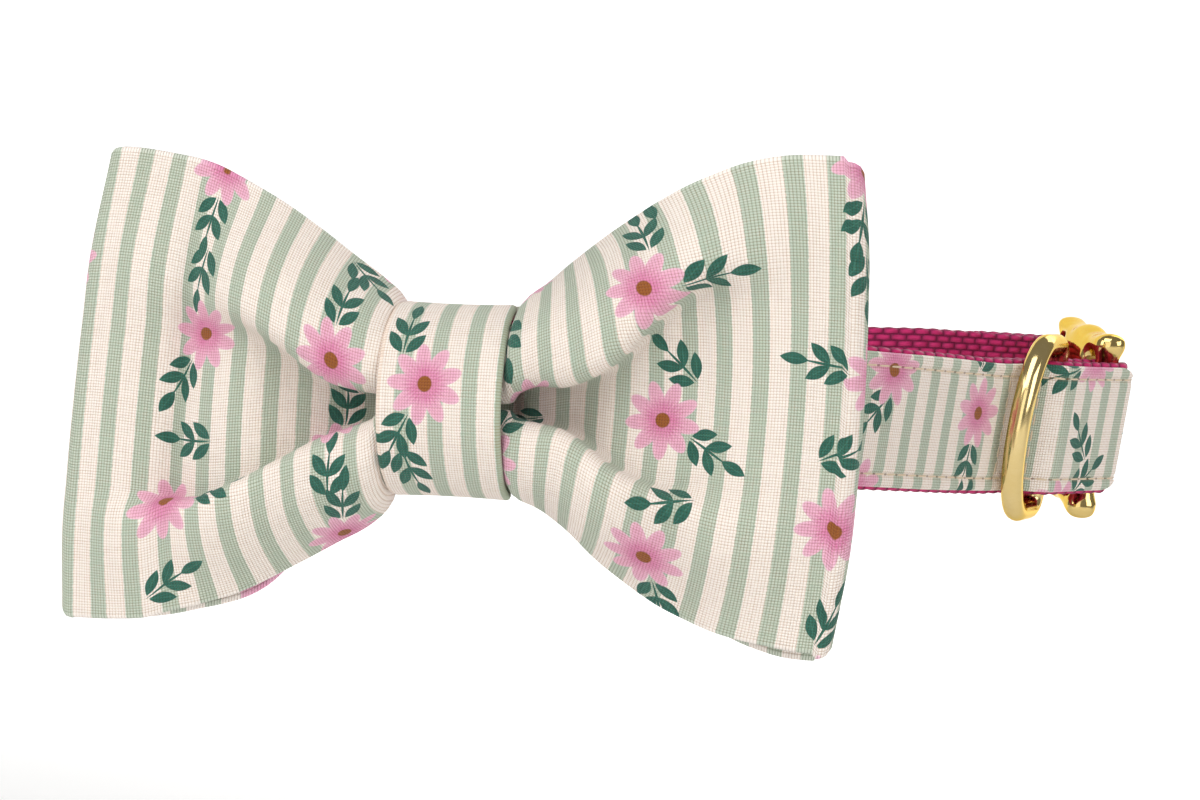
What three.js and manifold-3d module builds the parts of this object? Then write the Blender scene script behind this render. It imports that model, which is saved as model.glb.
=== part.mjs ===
import * as THREE from 'three';
import Module from 'manifold-3d';
import { mergeVertices } from 'three/addons/utils/BufferGeometryUtils.js';

const wasm = await Module();
wasm.setup();
const { Manifold, Mesh } = wasm;

// Strap. Sizes in mm, +Z up, the bow faces -Y, the origin is the middle of the neck opening.
const STRAP_WIDTH = 25;
const WEBBING_THICK = 1.6;
const COVER_WIDTH = 23.4;
const COVER_THICK = 1.0;
const COVER_GAP = 0.2;
const STRAP_STEP = 6;
const STRAP_LEAN_DEG = 5;

// Plan of the strap's middle line from the buckle's front bar, past the knot, to its back bar.
const NECK_Y = 58;
const STRAP_PLAN = [
  { name: 'right_of_bow', x: 61.5, y: 46.5, z: 0.4 },
  { name: 'right_bend', x: 35.0, y: 22.0, z: 1.0 },
  { name: 'knot_right', x: 12.0, y: 14.6, z: 0.7 },
  { name: 'knot_left', x: -12.0, y: 14.6, z: -0.7 },
  { name: 'left_bend', x: -37.0, y: 21.0, z: -1.2 },
  { name: 'left_turn', x: -62.0, y: 38.0, z: -0.6 },
  { name: 'left_end', x: -69.0, y: 61.0, z: -0.8 },
  { name: 'back_turn', x: -54.0, y: 83.0, z: -2.0 },
  { name: 'back_left', x: -18.0, y: 97.0, z: -3.2 },
  { name: 'back_middle', x: 24.0, y: 108.0, z: -1.4 },
];

// Buckle and its two bars.
const FRONT_BAR = { x: 100.0, y: 107.0, z: -1.0, heading: 58 };
const BACK_BAR = { x: 92.4, y: 146.3, z: 1.3, heading: 40 };
const BAR_RADIUS = 2.2;
const BAR_GAP = 0.3;
const TAIL_LENGTH = 36;
const BACK_TAIL_STEPS = 4;
const LAYERS_PART_AT = 26;
const LAYERS_OPEN_AT = 19;
const OUTER_SEAT = -0.2;
const LAYER_GAP = 0.3;
const BUCKLE_WIDTH = 36.2;
const BUCKLE_FAR_WIDTH = 34;
const BUCKLE_SIDE_STEPS = 16;
const BUCKLE_THICK = 6.6;
const BUCKLE_BEVEL = 1.4;
const BUCKLE_END = 3.3;
const NOTCH_WIDTH = 26.2;
const NOTCH_DEPTH = 8.5;
const WAIST_DEPTH = 1.0;

// D-ring.
const RING_FROM_BAR = 17;
const RING_WIRE = 4.0;
const RING_INNER = 26.6;
const RING_LEG = 8.5;
const RING_BOW = 9.0;
const RING_CORNER = 2.5;
const RING_REST_DEG = 17.5;
const RING_SIDES = 10;

// Bow. Its middle is the knot, its front is -Y.
const BOW_TILT_DEG = -3.3;
const BOW_DROP = 0;
const BOW_HEIGHT = 77.6;
const BOW_WALL = 1.6;
const BOW_COLUMNS = 19;
const BACK_SHARES = [0, 0.1, 0.19, 0.28, 0.38, 0.52, 0.68, 0.84, 1];
const BOW_ROWS = 26;
const BACK_SWELL = 2.2;
const END_FOLD_STEPS = 3;

// Bow sections, one row for each distance out from the knot along the cloth. Lengths in mm of cloth
// from the lower edge up: to the lower ridge, down into the valley, its floor, and out to the upper
// ridge; what is left runs to the top edge. Each turn is how far that stretch leans at its steepest,
// 0 for flat cloth and 90 for straight back. Above and below are the outline's height from the bow's
// middle; the free edges roll back as far as that height needs. Edge is the depth of the free edges.
const WING_COLUMNS = ['out', 'low', 'lowIn', 'floor', 'upIn', 'lowInTurn', 'upInTurn',
  'above', 'below', 'edge'];
const ROLL_FROM = 24;
const ROLL_TO = 46;
const ROLL_EASE = 0.5;
const STEEPEST_ROLL = 125;
const LEFT_WING = [
  [0, 20, 18.2, 0, 18.2, 112, 112, 11.4, 11.4, 5.4],
  [11.2, 20, 18.2, 0, 18.2, 112, 112, 11.4, 11.4, 5.4],
  [13.4, 20.5, 17.5, 0.5, 18, 106, 104, 16.5, 18.5, 3.2],
  [16, 20.5, 16.5, 1.5, 18, 103, 98, 19, 21, 1.8],
  [21, 20, 14.5, 5, 16.5, 102, 94, 22.5, 24.2, 0.4],
  [29, 19, 10.5, 14, 14, 100, 87, 27.5, 28.5, -0.8],
  [37, 18, 8, 22, 10.5, 96, 67, 31.8, 32.6, -1.8],
  [44, 16, 7, 26, 10, 92, 40, 34.8, 35, -2.2],
  [49, 16, 6.5, 26.5, 10, 80, 25, 36.7, 36.3, -2.4],
  [54, 16, 6, 26.5, 10, 42, 13, 38, 38, -2.4],
  [64.6, 16, 6, 26.5, 10, 2, 2, 39, 38.5, -2.3],
];
const RIGHT_WING = [
  [0, 20, 18.2, 0, 18.2, 112, 112, 11.4, 11.4, 5.4],
  [11.2, 20, 18.2, 0, 18.2, 112, 112, 11.4, 11.4, 5.4],
  [13.4, 19.5, 17.5, 0.5, 18, 106, 105, 17.2, 14.6, 3.2],
  [16, 19, 17, 2, 17.5, 103, 101, 19.8, 16.6, 1.8],
  [21, 18.5, 15, 3.5, 16.5, 102, 99, 23.8, 19.8, 0.4],
  [29, 18, 10.5, 13, 12, 97, 94, 29, 25.2, -1],
  [38, 18.5, 7, 25.5, 9.5, 79, 86, 33.8, 30.6, -1.9],
  [44, 18.5, 7, 29, 9.5, 53, 68, 36.6, 33.2, -2.2],
  [50, 18, 7.5, 29, 9, 32, 36, 39, 35, -2.4],
  [57, 18, 7.5, 29, 9, 12, 10, 40.4, 36.2, -2.4],
  [65.4, 18, 7.5, 29, 9, 2, 2, 40.5, 37, -2.3],
];
const END_BOW = 0.4;
const LEFT_SLANT = -3.3;
const RIGHT_SLANT = 1.0;
// Back panel, by share of the wing: share of the half height above and below the middle, and depth.
const BACK_PANEL = [
  { share: 0.0, above: 0.32, leftBelow: 0.32, rightBelow: 0.32, depth: 8.3 },
  { share: 0.19, above: 0.33, leftBelow: 0.33, rightBelow: 0.33, depth: 8.3 },
  { share: 0.34, above: 0.48, leftBelow: 0.5, rightBelow: 0.44, depth: 8.0 },
  { share: 0.52, above: 0.72, leftBelow: 0.84, rightBelow: 0.68, depth: 7.0 },
  { share: 0.72, above: 0.91, leftBelow: 0.96, rightBelow: 0.9, depth: 4.6 },
  { share: 0.88, above: 0.985, leftBelow: 1.0, rightBelow: 0.985, depth: 2.8 },
  { share: 1.0, above: 1.0, leftBelow: 1.0, rightBelow: 1.0, depth: 2.3 },
];

// Knot band round the bow's middle and the strap.
const KNOT_WIDTH = 19.8;
const KNOT_WALL = 1.4;
const KNOT_FRONT = -15.1;
const KNOT_ROUND_FROM = -1.0;
const KNOT_BACK = 18.4;
const KNOT_BACK_CORNER = 3.2;
const KNOT_HALF_HEIGHT = 15.5;
const KNOT_BACK_HALF = 14.8;
const KNOT_BACK_WIDTH = 15;
const KNOT_BACK_FROM = 10;
const KNOT_FLARE = 0.2;
const KNOT_COLUMNS = 4;
const KNOT_STEPS = 52;

const COLOURS = {
  webbing: { color: 0xac2662, roughness: 0.7, metalness: 0 },
  cotton: { color: 0xd9d6c4, roughness: 0.9, metalness: 0 },
  ring: { color: 0xdcbc72, roughness: 0.28, metalness: 1 },
  buckle: { color: 0xd2aa30, roughness: 0.22, metalness: 1 },
};

const rad = THREE.MathUtils.degToRad;
const group = new THREE.Group();
group.name = 'pet_bow_tie_collar';

function addMesh(name, geometry, look) {
  geometry.computeVertexNormals();
  const mesh = new THREE.Mesh(geometry, new THREE.MeshStandardMaterial(look));
  mesh.name = name;
  group.add(mesh);
  return mesh;
}

// Closed solid from points and triangles.
function solidFrom(points, triangles) {
  const geometry = new THREE.BufferGeometry();
  const flat = points.flatMap((p) => [p.x, p.y, p.z]);
  geometry.setAttribute('position', new THREE.Float32BufferAttribute(flat, 3));
  geometry.setIndex(triangles.flat());
  return geometry;
}

// Smooth reading of a table column between its rows.
function readTable(table, key, column, at) {
  const rows = table;
  let i = 0;
  while (i < rows.length - 2 && at > rows[i + 1][key]) {
    i += 1;
  }
  const a = rows[i];
  const b = rows[i + 1];
  const before = rows[Math.max(0, i - 1)];
  const after = rows[Math.min(rows.length - 1, i + 2)];
  const span = b[key] - a[key];
  const u = THREE.MathUtils.clamp((at - a[key]) / span, 0, 1);
  const slopeA = i > 0 ? (b[column] - before[column]) / (b[key] - before[key]) : 0;
  const slopeB = i < rows.length - 2 ? (after[column] - a[column]) / (after[key] - a[key]) : 0;
  const u2 = u * u;
  const u3 = u2 * u;
  return a[column] * (2 * u3 - 3 * u2 + 1) + b[column] * (3 * u2 - 2 * u3)
    + slopeA * span * (u3 - 2 * u2 + u) + slopeB * span * (u3 - u2);
}

// Strap

const toPlan = (p) => new THREE.Vector2(p.x, p.y - NECK_Y);
const heading = (deg) => new THREE.Vector2(Math.cos(rad(deg)), Math.sin(rad(deg)));
const leftOf = (d) => new THREE.Vector2(-d.y, d.x);
const FOLD_RADIUS = BAR_RADIUS + BAR_GAP + WEBBING_THICK / 2;

// Points of one folded end, from the tail's end round the bar and back along the outer layer.
function foldedEnd(bar, outerSide) {
  const centre = toPlan(bar);
  const ahead = heading(bar.heading);
  const out = leftOf(ahead).multiplyScalar(outerSide);
  const at = (back, side) => centre.clone().addScaledVector(ahead, -back).addScaledVector(out, side);
  const parted = (back) => THREE.MathUtils.smoothstep(back, LAYERS_OPEN_AT, LAYERS_PART_AT);
  const tailSeat = OUTER_SEAT - WEBBING_THICK - LAYER_GAP;
  const points = [];
  for (let back = TAIL_LENGTH; back > 0.1; back -= 2) {
    points.push(at(back, THREE.MathUtils.lerp(-FOLD_RADIUS, tailSeat, parted(back))));
  }
  for (let deg = -90; deg <= 90.1; deg += 15) {
    points.push(at(-FOLD_RADIUS * Math.cos(rad(deg)), FOLD_RADIUS * Math.sin(rad(deg))));
  }
  for (const back of [9, 18, 20, 22, 24, 26, 31, TAIL_LENGTH]) {
    points.push(at(back, THREE.MathUtils.lerp(FOLD_RADIUS, OUTER_SEAT, parted(back))));
  }
  return points;
}

const frontEnd = foldedEnd(FRONT_BAR, -1);
const backEnd = foldedEnd(BACK_BAR, 1).reverse();

const leanOut = leftOf(heading(FRONT_BAR.heading)).multiplyScalar(-Math.tan(rad(STRAP_LEAN_DEG)));
const backShift = leanOut.clone().multiplyScalar(BACK_BAR.z - FRONT_BAR.z);
const atFront = (p) => new THREE.Vector3(p.x, p.y, FRONT_BAR.z);
const atBack = (p) => new THREE.Vector3(p.x + backShift.x, p.y + backShift.y, BACK_BAR.z);
const loopCurve = new THREE.CatmullRomCurve3([
  ...frontEnd.slice(-2).map(atFront),
  ...STRAP_PLAN.map((p) => new THREE.Vector3(p.x, p.y - NECK_Y, p.z)),
  ...backEnd.slice(0, 2).map(atBack),
], false, 'centripetal');
const loopSteps = Math.round(loopCurve.getLength() / STRAP_STEP);
const loopPoints = loopCurve.getSpacedPoints(loopSteps);

// The back end's tail runs on along the inside of the loop.
const backTail = [];
for (let k = 2; k <= BACK_TAIL_STEPS; k += 1) {
  const at = loopPoints.length - 1 - k;
  const along = loopPoints[at + 1].clone().sub(loopPoints[at - 1]).setZ(0).normalize();
  const inward = leftOf(along).multiplyScalar(-WEBBING_THICK - LAYER_GAP);
  const p = loopPoints[at];
  backTail.push(new THREE.Vector3(p.x + inward.x, p.y + inward.y, p.z));
}
const strapLine = [
  ...frontEnd.slice(0, -2).map(atFront),
  ...loopPoints,
  ...backEnd.slice(2).map(atBack),
  ...backTail,
];

// The strap leans out at the buckle and follows the tilt of the bow behind the knot.
const leanFull = new THREE.Vector3(leanOut.x, leanOut.y, 1);
const knotUp = new THREE.Vector3(Math.tan(rad(BOW_TILT_DEG)), 0, 1);
const knotPlan = new THREE.Vector2(0, 14.6 - NECK_Y);
function strapUp(p) {
  const nearKnot = 1 - THREE.MathUtils.smoothstep(knotPlan.distanceTo(p), 14, 45);
  const nearBuckle = THREE.MathUtils.smoothstep(p.x, 25, 75);
  return new THREE.Vector3(0, 0, 1).lerp(knotUp, nearKnot).lerp(leanFull, nearBuckle);
}

// Ribbon along the strap's line between two distances from its middle, measured to the outer side.
function ribbon(line, width, inner, outer) {
  const points = [];
  const triangles = [];
  line.forEach((p, i) => {
    const before = line[Math.max(0, i - 1)];
    const after = line[Math.min(line.length - 1, i + 1)];
    const side = leftOf(after.clone().sub(before).setZ(0).normalize());
    const up = strapUp(p);
    for (const [offset, end] of [[inner, -1], [outer, -1], [outer, 1], [inner, 1]]) {
      const q = new THREE.Vector3(p.x + side.x * offset, p.y + side.y * offset, p.z);
      points.push(q.addScaledVector(up, end * width / 2));
    }
  });
  for (let i = 0; i < line.length - 1; i += 1) {
    for (let k = 0; k < 4; k += 1) {
      const a = i * 4 + k;
      const b = i * 4 + (k + 1) % 4;
      triangles.push([a, b, b + 4], [a, b + 4, a + 4]);
    }
  }
  const last = (line.length - 1) * 4;
  triangles.push([0, 2, 1], [0, 3, 2], [last, last + 1, last + 2], [last, last + 2, last + 3]);
  return solidFrom(points, triangles);
}

// The cover stops where each tail leaves its fold.
const tailPoints = Math.ceil(TAIL_LENGTH / 2);
const coverLine = strapLine.slice(tailPoints, -tailPoints - backTail.length);
const coverInner = WEBBING_THICK / 2 + COVER_GAP;
addMesh('webbing', ribbon(strapLine, STRAP_WIDTH, -WEBBING_THICK / 2, WEBBING_THICK / 2), COLOURS.webbing);
const coverGeometry = ribbon(coverLine, COVER_WIDTH, coverInner, coverInner + COVER_THICK);
addMesh('strap_cover', coverGeometry, COLOURS.cotton);

// Hardware

const leanShear = new THREE.Matrix4().set(
  1, 0, leanFull.x, 0,
  0, 1, leanFull.y, 0,
  0, 0, 1, 0,
  0, 0, 0, 1);

// Stands a piece modelled about the local Z axis on a bar of the strap, turned to a heading.
function placeOnBar(geometry, plan, headingDeg) {
  geometry.rotateZ(rad(headingDeg));
  geometry.applyMatrix4(leanShear);
  geometry.translate(plan.x, plan.y, FRONT_BAR.z);
  return geometry;
}

// Round wire along a closed line in the local XZ plane.
function closedWire(line, radius, sides) {
  const points = [];
  const triangles = [];
  const count = line.length;
  line.forEach((p, i) => {
    const ahead = line[(i + 1) % count].clone().sub(line[(i + count - 1) % count]).normalize();
    const across = new THREE.Vector3(ahead.z, 0, -ahead.x);
    for (let k = 0; k < sides; k += 1) {
      const angle = (2 * Math.PI * k) / sides;
      const q = p.clone().addScaledVector(across, radius * Math.cos(angle));
      q.y += radius * Math.sin(angle);
      points.push(q);
      const a = i * sides + k;
      const b = i * sides + (k + 1) % sides;
      const c = ((i + 1) % count) * sides + (k + 1) % sides;
      const d = ((i + 1) % count) * sides + k;
      triangles.push([a, b, c], [a, c, d]);
    }
  });
  return solidFrom(points, triangles);
}

function ringLine() {
  const half = RING_INNER / 2 + RING_WIRE / 2;
  const path = new THREE.Path();
  path.moveTo(0, -half + RING_CORNER);
  path.lineTo(0, half - RING_CORNER);
  path.absarc(RING_CORNER, half - RING_CORNER, RING_CORNER, Math.PI, Math.PI / 2, true);
  path.lineTo(RING_LEG, half);
  path.absellipse(RING_LEG, 0, RING_BOW, half, Math.PI / 2, -Math.PI / 2, true);
  path.lineTo(RING_CORNER, -half);
  path.absarc(RING_CORNER, -half + RING_CORNER, RING_CORNER, -Math.PI / 2, -Math.PI, true);
  return path.getSpacedPoints(44).slice(0, -1).map((p) => new THREE.Vector3(p.x, 0, p.y));
}

const barAhead = heading(FRONT_BAR.heading);
const ringPlan = toPlan(FRONT_BAR).addScaledVector(barAhead, -RING_FROM_BAR);
const ringGeometry = closedWire(ringLine(), RING_WIRE / 2, RING_SIDES);
placeOnBar(ringGeometry, ringPlan, FRONT_BAR.heading + 180 + RING_REST_DEG);
addMesh('d_ring', ringGeometry, COLOURS.ring);

// Booleans on closed solids.
function toManifold(geometry) {
  geometry.deleteAttribute('normal');
  geometry.deleteAttribute('uv');
  const merged = mergeVertices(geometry, 1e-4);
  return Manifold.ofMesh(new Mesh({
    numProp: 3,
    vertProperties: new Float32Array(merged.attributes.position.array),
    triVerts: new Uint32Array(merged.index.array),
  }));
}

function fromManifold(solid) {
  const mesh = solid.getMesh();
  const geometry = new THREE.BufferGeometry();
  geometry.setAttribute('position', new THREE.Float32BufferAttribute(mesh.vertProperties, 3));
  geometry.setIndex(Array.from(mesh.triVerts));
  return geometry;
}

// Buckle plate in local XZ: X runs from the front bar to the back bar, waisted twice along each side.
function buckleSolid(length) {
  const inset = BUCKLE_BEVEL;
  const end = BUCKLE_END - inset;
  const notch = NOTCH_WIDTH / 2 + inset;
  const depth = NOTCH_DEPTH + inset;
  const side = [];
  for (let k = 0; k <= BUCKLE_SIDE_STEPS; k += 1) {
    const share = k / BUCKLE_SIDE_STEPS;
    const waist = WAIST_DEPTH * (0.5 - 0.5 * Math.cos(4 * Math.PI * share));
    const half = THREE.MathUtils.lerp(BUCKLE_WIDTH, BUCKLE_FAR_WIDTH, share) / 2 - inset;
    side.push(new THREE.Vector2(THREE.MathUtils.lerp(-end, length + end, share), half - waist));
  }
  const mirrored = side.map((p) => new THREE.Vector2(p.x, -p.y)).reverse();
  const plate = new THREE.Shape([
    new THREE.Vector2(-end, notch),
    ...side,
    new THREE.Vector2(length + end, notch),
    new THREE.Vector2(length - depth, notch),
    new THREE.Vector2(length - depth, -notch),
    new THREE.Vector2(length + end, -notch),
    ...mirrored,
    new THREE.Vector2(-end, -notch),
    new THREE.Vector2(depth, -notch),
    new THREE.Vector2(depth, notch),
  ]);
  const geometry = new THREE.ExtrudeGeometry(plate, {
    depth: BUCKLE_THICK - 2 * BUCKLE_BEVEL,
    bevelEnabled: true,
    bevelThickness: BUCKLE_BEVEL,
    bevelSize: BUCKLE_BEVEL,
    bevelSegments: 3,
    curveSegments: 5,
  });
  geometry.translate(0, 0, -BUCKLE_THICK / 2 + BUCKLE_BEVEL);
  geometry.rotateX(Math.PI / 2);
  let solid = toManifold(geometry);
  for (const x of [0, length]) {
    const bar = new THREE.CylinderGeometry(BAR_RADIUS, BAR_RADIUS, NOTCH_WIDTH + 6, 16);
    bar.rotateX(Math.PI / 2);
    bar.translate(x, 0, 0);
    solid = solid.add(toManifold(bar));
  }
  return fromManifold(solid);
}

const buckleRun = toPlan(BACK_BAR).sub(toPlan(FRONT_BAR));
const buckleGeometry = buckleSolid(buckleRun.length());
buckleGeometry.applyMatrix4(new THREE.Matrix4().set(
  1, 0, 0, 0,
  0, 1, 0, 0,
  (BACK_BAR.z - FRONT_BAR.z) / buckleRun.length(), 0, 1, 0,
  0, 0, 0, 1));
placeOnBar(buckleGeometry, toPlan(FRONT_BAR), THREE.MathUtils.radToDeg(buckleRun.angle()));
addMesh('buckle', buckleGeometry, COLOURS.buckle);

// Bow

// Value between the two ends at which a falling function comes down to the level, found by halving.
function fallsTo(level, from, to, value) {
  let low = from;
  let high = to;
  for (let i = 0; i < 20; i += 1) {
    const middle = (low + high) / 2;
    if (value(middle) > level) {
      low = middle;
    } else {
      high = middle;
    }
  }
  return (low + high) / 2;
}

// One section of the front panel: depth and height for each row of cloth, lower edge first.
function bowSection(wing, out, rows) {
  const read = (column) => readTable(wing, 'out', column, out);
  const lengths = [read('low'), read('lowIn'), read('floor'), read('upIn')];
  lengths.push(BOW_HEIGHT - lengths.reduce((a, b) => a + b, 0));
  const ends = lengths.map((_, k) => lengths.slice(0, k + 1).reduce((a, b) => a + b, 0));
  // near the knot the edges of the cloth stay rolled back; further out they straighten
  const roll = 1 - ROLL_EASE * THREE.MathUtils.smoothstep(out, ROLL_FROM, ROLL_TO);
  const fine = 20;
  const step = BOW_HEIGHT / (rows * fine);
  const bends = [];
  for (let i = 0; i < rows * fine; i += 1) {
    const along = (i + 0.5) * step;
    const found = ends.findIndex((e) => along <= e);
    const stretch = found === -1 ? lengths.length - 1 : found;
    const share = (along - ends[stretch] + lengths[stretch]) / lengths[stretch];
    const bend = Math.sin(Math.PI * share);
    const rolls = { 0: Math.cos((Math.PI * share) / 2), 4: Math.sin((Math.PI * share) / 2) };
    const rolled = stretch in rolls ? THREE.MathUtils.lerp(bend, rolls[stretch], roll) : bend;
    bends.push({ stretch, bend: rolled });
  }
  const leans = (edgeTurn) => {
    const turns = [-edgeTurn, read('lowInTurn'), 0, -read('upInTurn'), edgeTurn].map(rad);
    return bends.map(({ stretch, bend }) => turns[stretch] * bend);
  };
  const tall = (edgeTurn) => leans(edgeTurn).reduce((sum, lean) => sum + Math.cos(lean) * step, 0);
  const edgeTurn = fallsTo(read('above') + read('below'), 0, STEEPEST_ROLL, tall);
  const section = [{ y: 0, z: 0 }];
  let y = 0;
  let z = 0;
  leans(edgeTurn).forEach((lean, i) => {
    y += Math.sin(lean) * step;
    z += Math.cos(lean) * step;
    if ((i + 1) % fine === 0) {
      section.push({ y, z });
    }
  });
  const middleY = read('edge') - y / 2;
  return section.map((p) => ({ y: p.y + middleY, z: p.z - read('below') }));
}

// Smooth bow-shaped curve, level in the middle, that runs nearest to the values.
function parabolaThrough(values) {
  const count = values.length;
  const squares = values.map((_, j) => ((2 * j) / (count - 1) - 1) ** 2);
  const mean = (list) => list.reduce((a, b) => a + b, 0) / count;
  const meanS = mean(squares);
  const meanV = mean(values);
  const slope = mean(values.map((v, j) => (v - meanV) * (squares[j] - meanS)))
    / mean(squares.map((q) => (q - meanS) ** 2));
  return squares.map((q) => meanV + END_BOW * slope * (q - meanS));
}

// Front half of one wing as columns of points; the cloth keeps its length along every row.
function frontWing(wing, side, slant) {
  const length = wing.at(-1).out;
  const fine = 6;
  const steps = BOW_COLUMNS * fine;
  const sections = [];
  for (let i = 0; i <= steps; i += 1) {
    sections.push(bowSection(wing, (length * i) / steps, BOW_ROWS));
  }
  const reach = sections[0].map(() => 0);
  const columns = [sections[0].map((p) => new THREE.Vector3(0, p.y, p.z))];
  for (let i = 1; i <= steps; i += 1) {
    const run = length / steps;
    sections[i].forEach((p, j) => {
      const rise = (p.z - sections[i - 1][j].z) / run;
      const back = (p.y - sections[i - 1][j].y) / run;
      reach[j] += run * Math.sqrt(Math.max(0.3, 1 - rise * rise - back * back));
    });
    if (i % fine === 0) {
      const smooth = parabolaThrough(reach);
      const lean = (slant * i) / steps;
      columns.push(sections[i].map((p, j) => {
        const x = smooth[j] + lean * ((2 * j) / BOW_ROWS - 1);
        return new THREE.Vector3(side * x, p.y, p.z);
      }));
    }
  }
  return columns;
}

// Back half of one wing, narrow behind the knot and full height at the end.
function backWing(front, side) {
  const endColumn = front.at(-1);
  const columns = [];
  for (const share of BACK_SHARES) {
    const read = (column) => readTable(BACK_PANEL, 'share', column, share);
    const above = (read('above') * BOW_HEIGHT) / 2;
    const below = (read(side < 0 ? 'leftBelow' : 'rightBelow') * BOW_HEIGHT) / 2;
    columns.push(endColumn.map((p, j) => {
      const up = (2 * j) / BOW_ROWS - 1;
      const swell = Math.sin(Math.PI * share) * BACK_SWELL * (1 - up * up);
      const height = THREE.MathUtils.lerp(-below, above, (up + 1) / 2);
      return new THREE.Vector3(p.x * share, read('depth') + swell, height);
    }));
  }
  return columns;
}

// End fold that joins front and back, bulging past the end of the wing.
function endFold(frontEndColumn, backEndColumn, side) {
  const columns = [];
  for (let k = 1; k <= END_FOLD_STEPS; k += 1) {
    const angle = (Math.PI * k) / (END_FOLD_STEPS + 1);
    columns.push(frontEndColumn.map((p, j) => {
      const q = backEndColumn[j];
      const middle = p.clone().add(q).multiplyScalar(0.5);
      const half = (q.y - p.y) / 2;
      return new THREE.Vector3(middle.x + side * half * Math.sin(angle),
        middle.y - half * Math.cos(angle), middle.z);
    }));
  }
  return columns;
}

function bowColumns() {
  const named = (row) => Object.fromEntries(WING_COLUMNS.map((name, k) => [name, row[k]]));
  const leftFront = frontWing(LEFT_WING.map(named), -1, LEFT_SLANT);
  const rightFront = frontWing(RIGHT_WING.map(named), 1, RIGHT_SLANT);
  const leftBack = backWing(leftFront, -1);
  const rightBack = backWing(rightFront, 1);
  return [
    ...leftFront.slice(1).reverse(),
    ...rightFront,
    ...endFold(rightFront.at(-1), rightBack.at(-1), 1),
    ...rightBack.slice(1).reverse(),
    ...leftBack,
    ...endFold(leftFront.at(-1), leftBack.at(-1), -1).reverse(),
  ];
}

// Closed wall about a sheet of points that runs round a loop.
function loopWall(columns, thickness) {
  const count = columns.length;
  const rows = columns[0].length;
  const at = (i, j) => columns[(i + count) % count][THREE.MathUtils.clamp(j, 0, rows - 1)];
  const points = [[], []];
  for (let i = 0; i < count; i += 1) {
    for (let j = 0; j < rows; j += 1) {
      const along = at(i + 1, j).clone().sub(at(i - 1, j));
      const up = at(i, j + 1).clone().sub(at(i, j - 1));
      const out = along.cross(up).normalize();
      points[0].push(at(i, j).clone().addScaledVector(out, thickness / 2));
      points[1].push(at(i, j).clone().addScaledVector(out, -thickness / 2));
    }
  }
  const outer = (i, j) => ((i + count) % count) * rows + j;
  const inner = (i, j) => count * rows + outer(i, j);
  const triangles = [];
  for (let i = 0; i < count; i += 1) {
    for (let j = 0; j < rows - 1; j += 1) {
      triangles.push([outer(i, j), outer(i + 1, j), outer(i + 1, j + 1)]);
      triangles.push([outer(i, j), outer(i + 1, j + 1), outer(i, j + 1)]);
      triangles.push([inner(i, j), inner(i + 1, j + 1), inner(i + 1, j)]);
      triangles.push([inner(i, j), inner(i, j + 1), inner(i + 1, j + 1)]);
    }
    triangles.push([outer(i, 0), inner(i + 1, 0), outer(i + 1, 0)]);
    triangles.push([outer(i, 0), inner(i, 0), inner(i + 1, 0)]);
    const t = rows - 1;
    triangles.push([outer(i, t), outer(i + 1, t), inner(i + 1, t)]);
    triangles.push([outer(i, t), inner(i + 1, t), inner(i, t)]);
  }
  return solidFrom([...points[0], ...points[1]], triangles);
}

// Knot band: round in front, flat behind the strap, flaring a little towards both edges.
function knotColumns() {
  const high = KNOT_HALF_HEIGHT - KNOT_WALL / 2;
  const back = KNOT_BACK - KNOT_WALL / 2;
  const front = KNOT_ROUND_FROM - KNOT_FRONT - KNOT_WALL / 2;
  const corner = KNOT_BACK_CORNER;
  const low = KNOT_BACK_HALF - KNOT_WALL / 2;
  const path = new THREE.Path();
  path.moveTo(back, -low + corner);
  path.lineTo(back, low - corner);
  path.absarc(back - corner, low - corner, corner, 0, Math.PI / 2, false);
  path.lineTo(KNOT_BACK_FROM, low);
  path.bezierCurveTo(KNOT_BACK_FROM - 4, low, KNOT_ROUND_FROM + 4, high, KNOT_ROUND_FROM, high);
  path.absellipse(KNOT_ROUND_FROM, 0, front, high, Math.PI / 2, 1.5 * Math.PI, false);
  path.bezierCurveTo(KNOT_ROUND_FROM + 4, -high, KNOT_BACK_FROM - 4, -low, KNOT_BACK_FROM, -low);
  path.lineTo(back - corner, -low);
  path.absarc(back - corner, -low + corner, corner, 1.5 * Math.PI, 2 * Math.PI, false);
  const outline = path.getSpacedPoints(KNOT_STEPS).slice(0, -1);
  return outline.map((p) => {
    const column = [];
    for (let j = 0; j <= KNOT_COLUMNS; j += 1) {
      const across = (2 * j) / KNOT_COLUMNS - 1;
      const grow = 1 + (KNOT_FLARE * (across * across - 0.4)) / KNOT_HALF_HEIGHT;
      const behind = THREE.MathUtils.smoothstep(p.x, KNOT_ROUND_FROM - 4, KNOT_BACK_FROM);
      const width = THREE.MathUtils.lerp(KNOT_WIDTH, KNOT_BACK_WIDTH, behind);
      column.push(new THREE.Vector3(across * width / 2, p.x * grow, p.y * grow));
    }
    return column;
  });
}

function placeBow(geometry) {
  geometry.rotateY(rad(BOW_TILT_DEG));
  geometry.translate(0, -NECK_Y, -BOW_DROP);
  return geometry;
}

addMesh('bow_loop', placeBow(loopWall(bowColumns(), BOW_WALL)), COLOURS.cotton);
addMesh('bow_knot', placeBow(loopWall(knotColumns(), KNOT_WALL)), COLOURS.cotton);

export default group;
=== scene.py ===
import math
import bpy
from mathutils import Matrix, Vector


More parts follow.
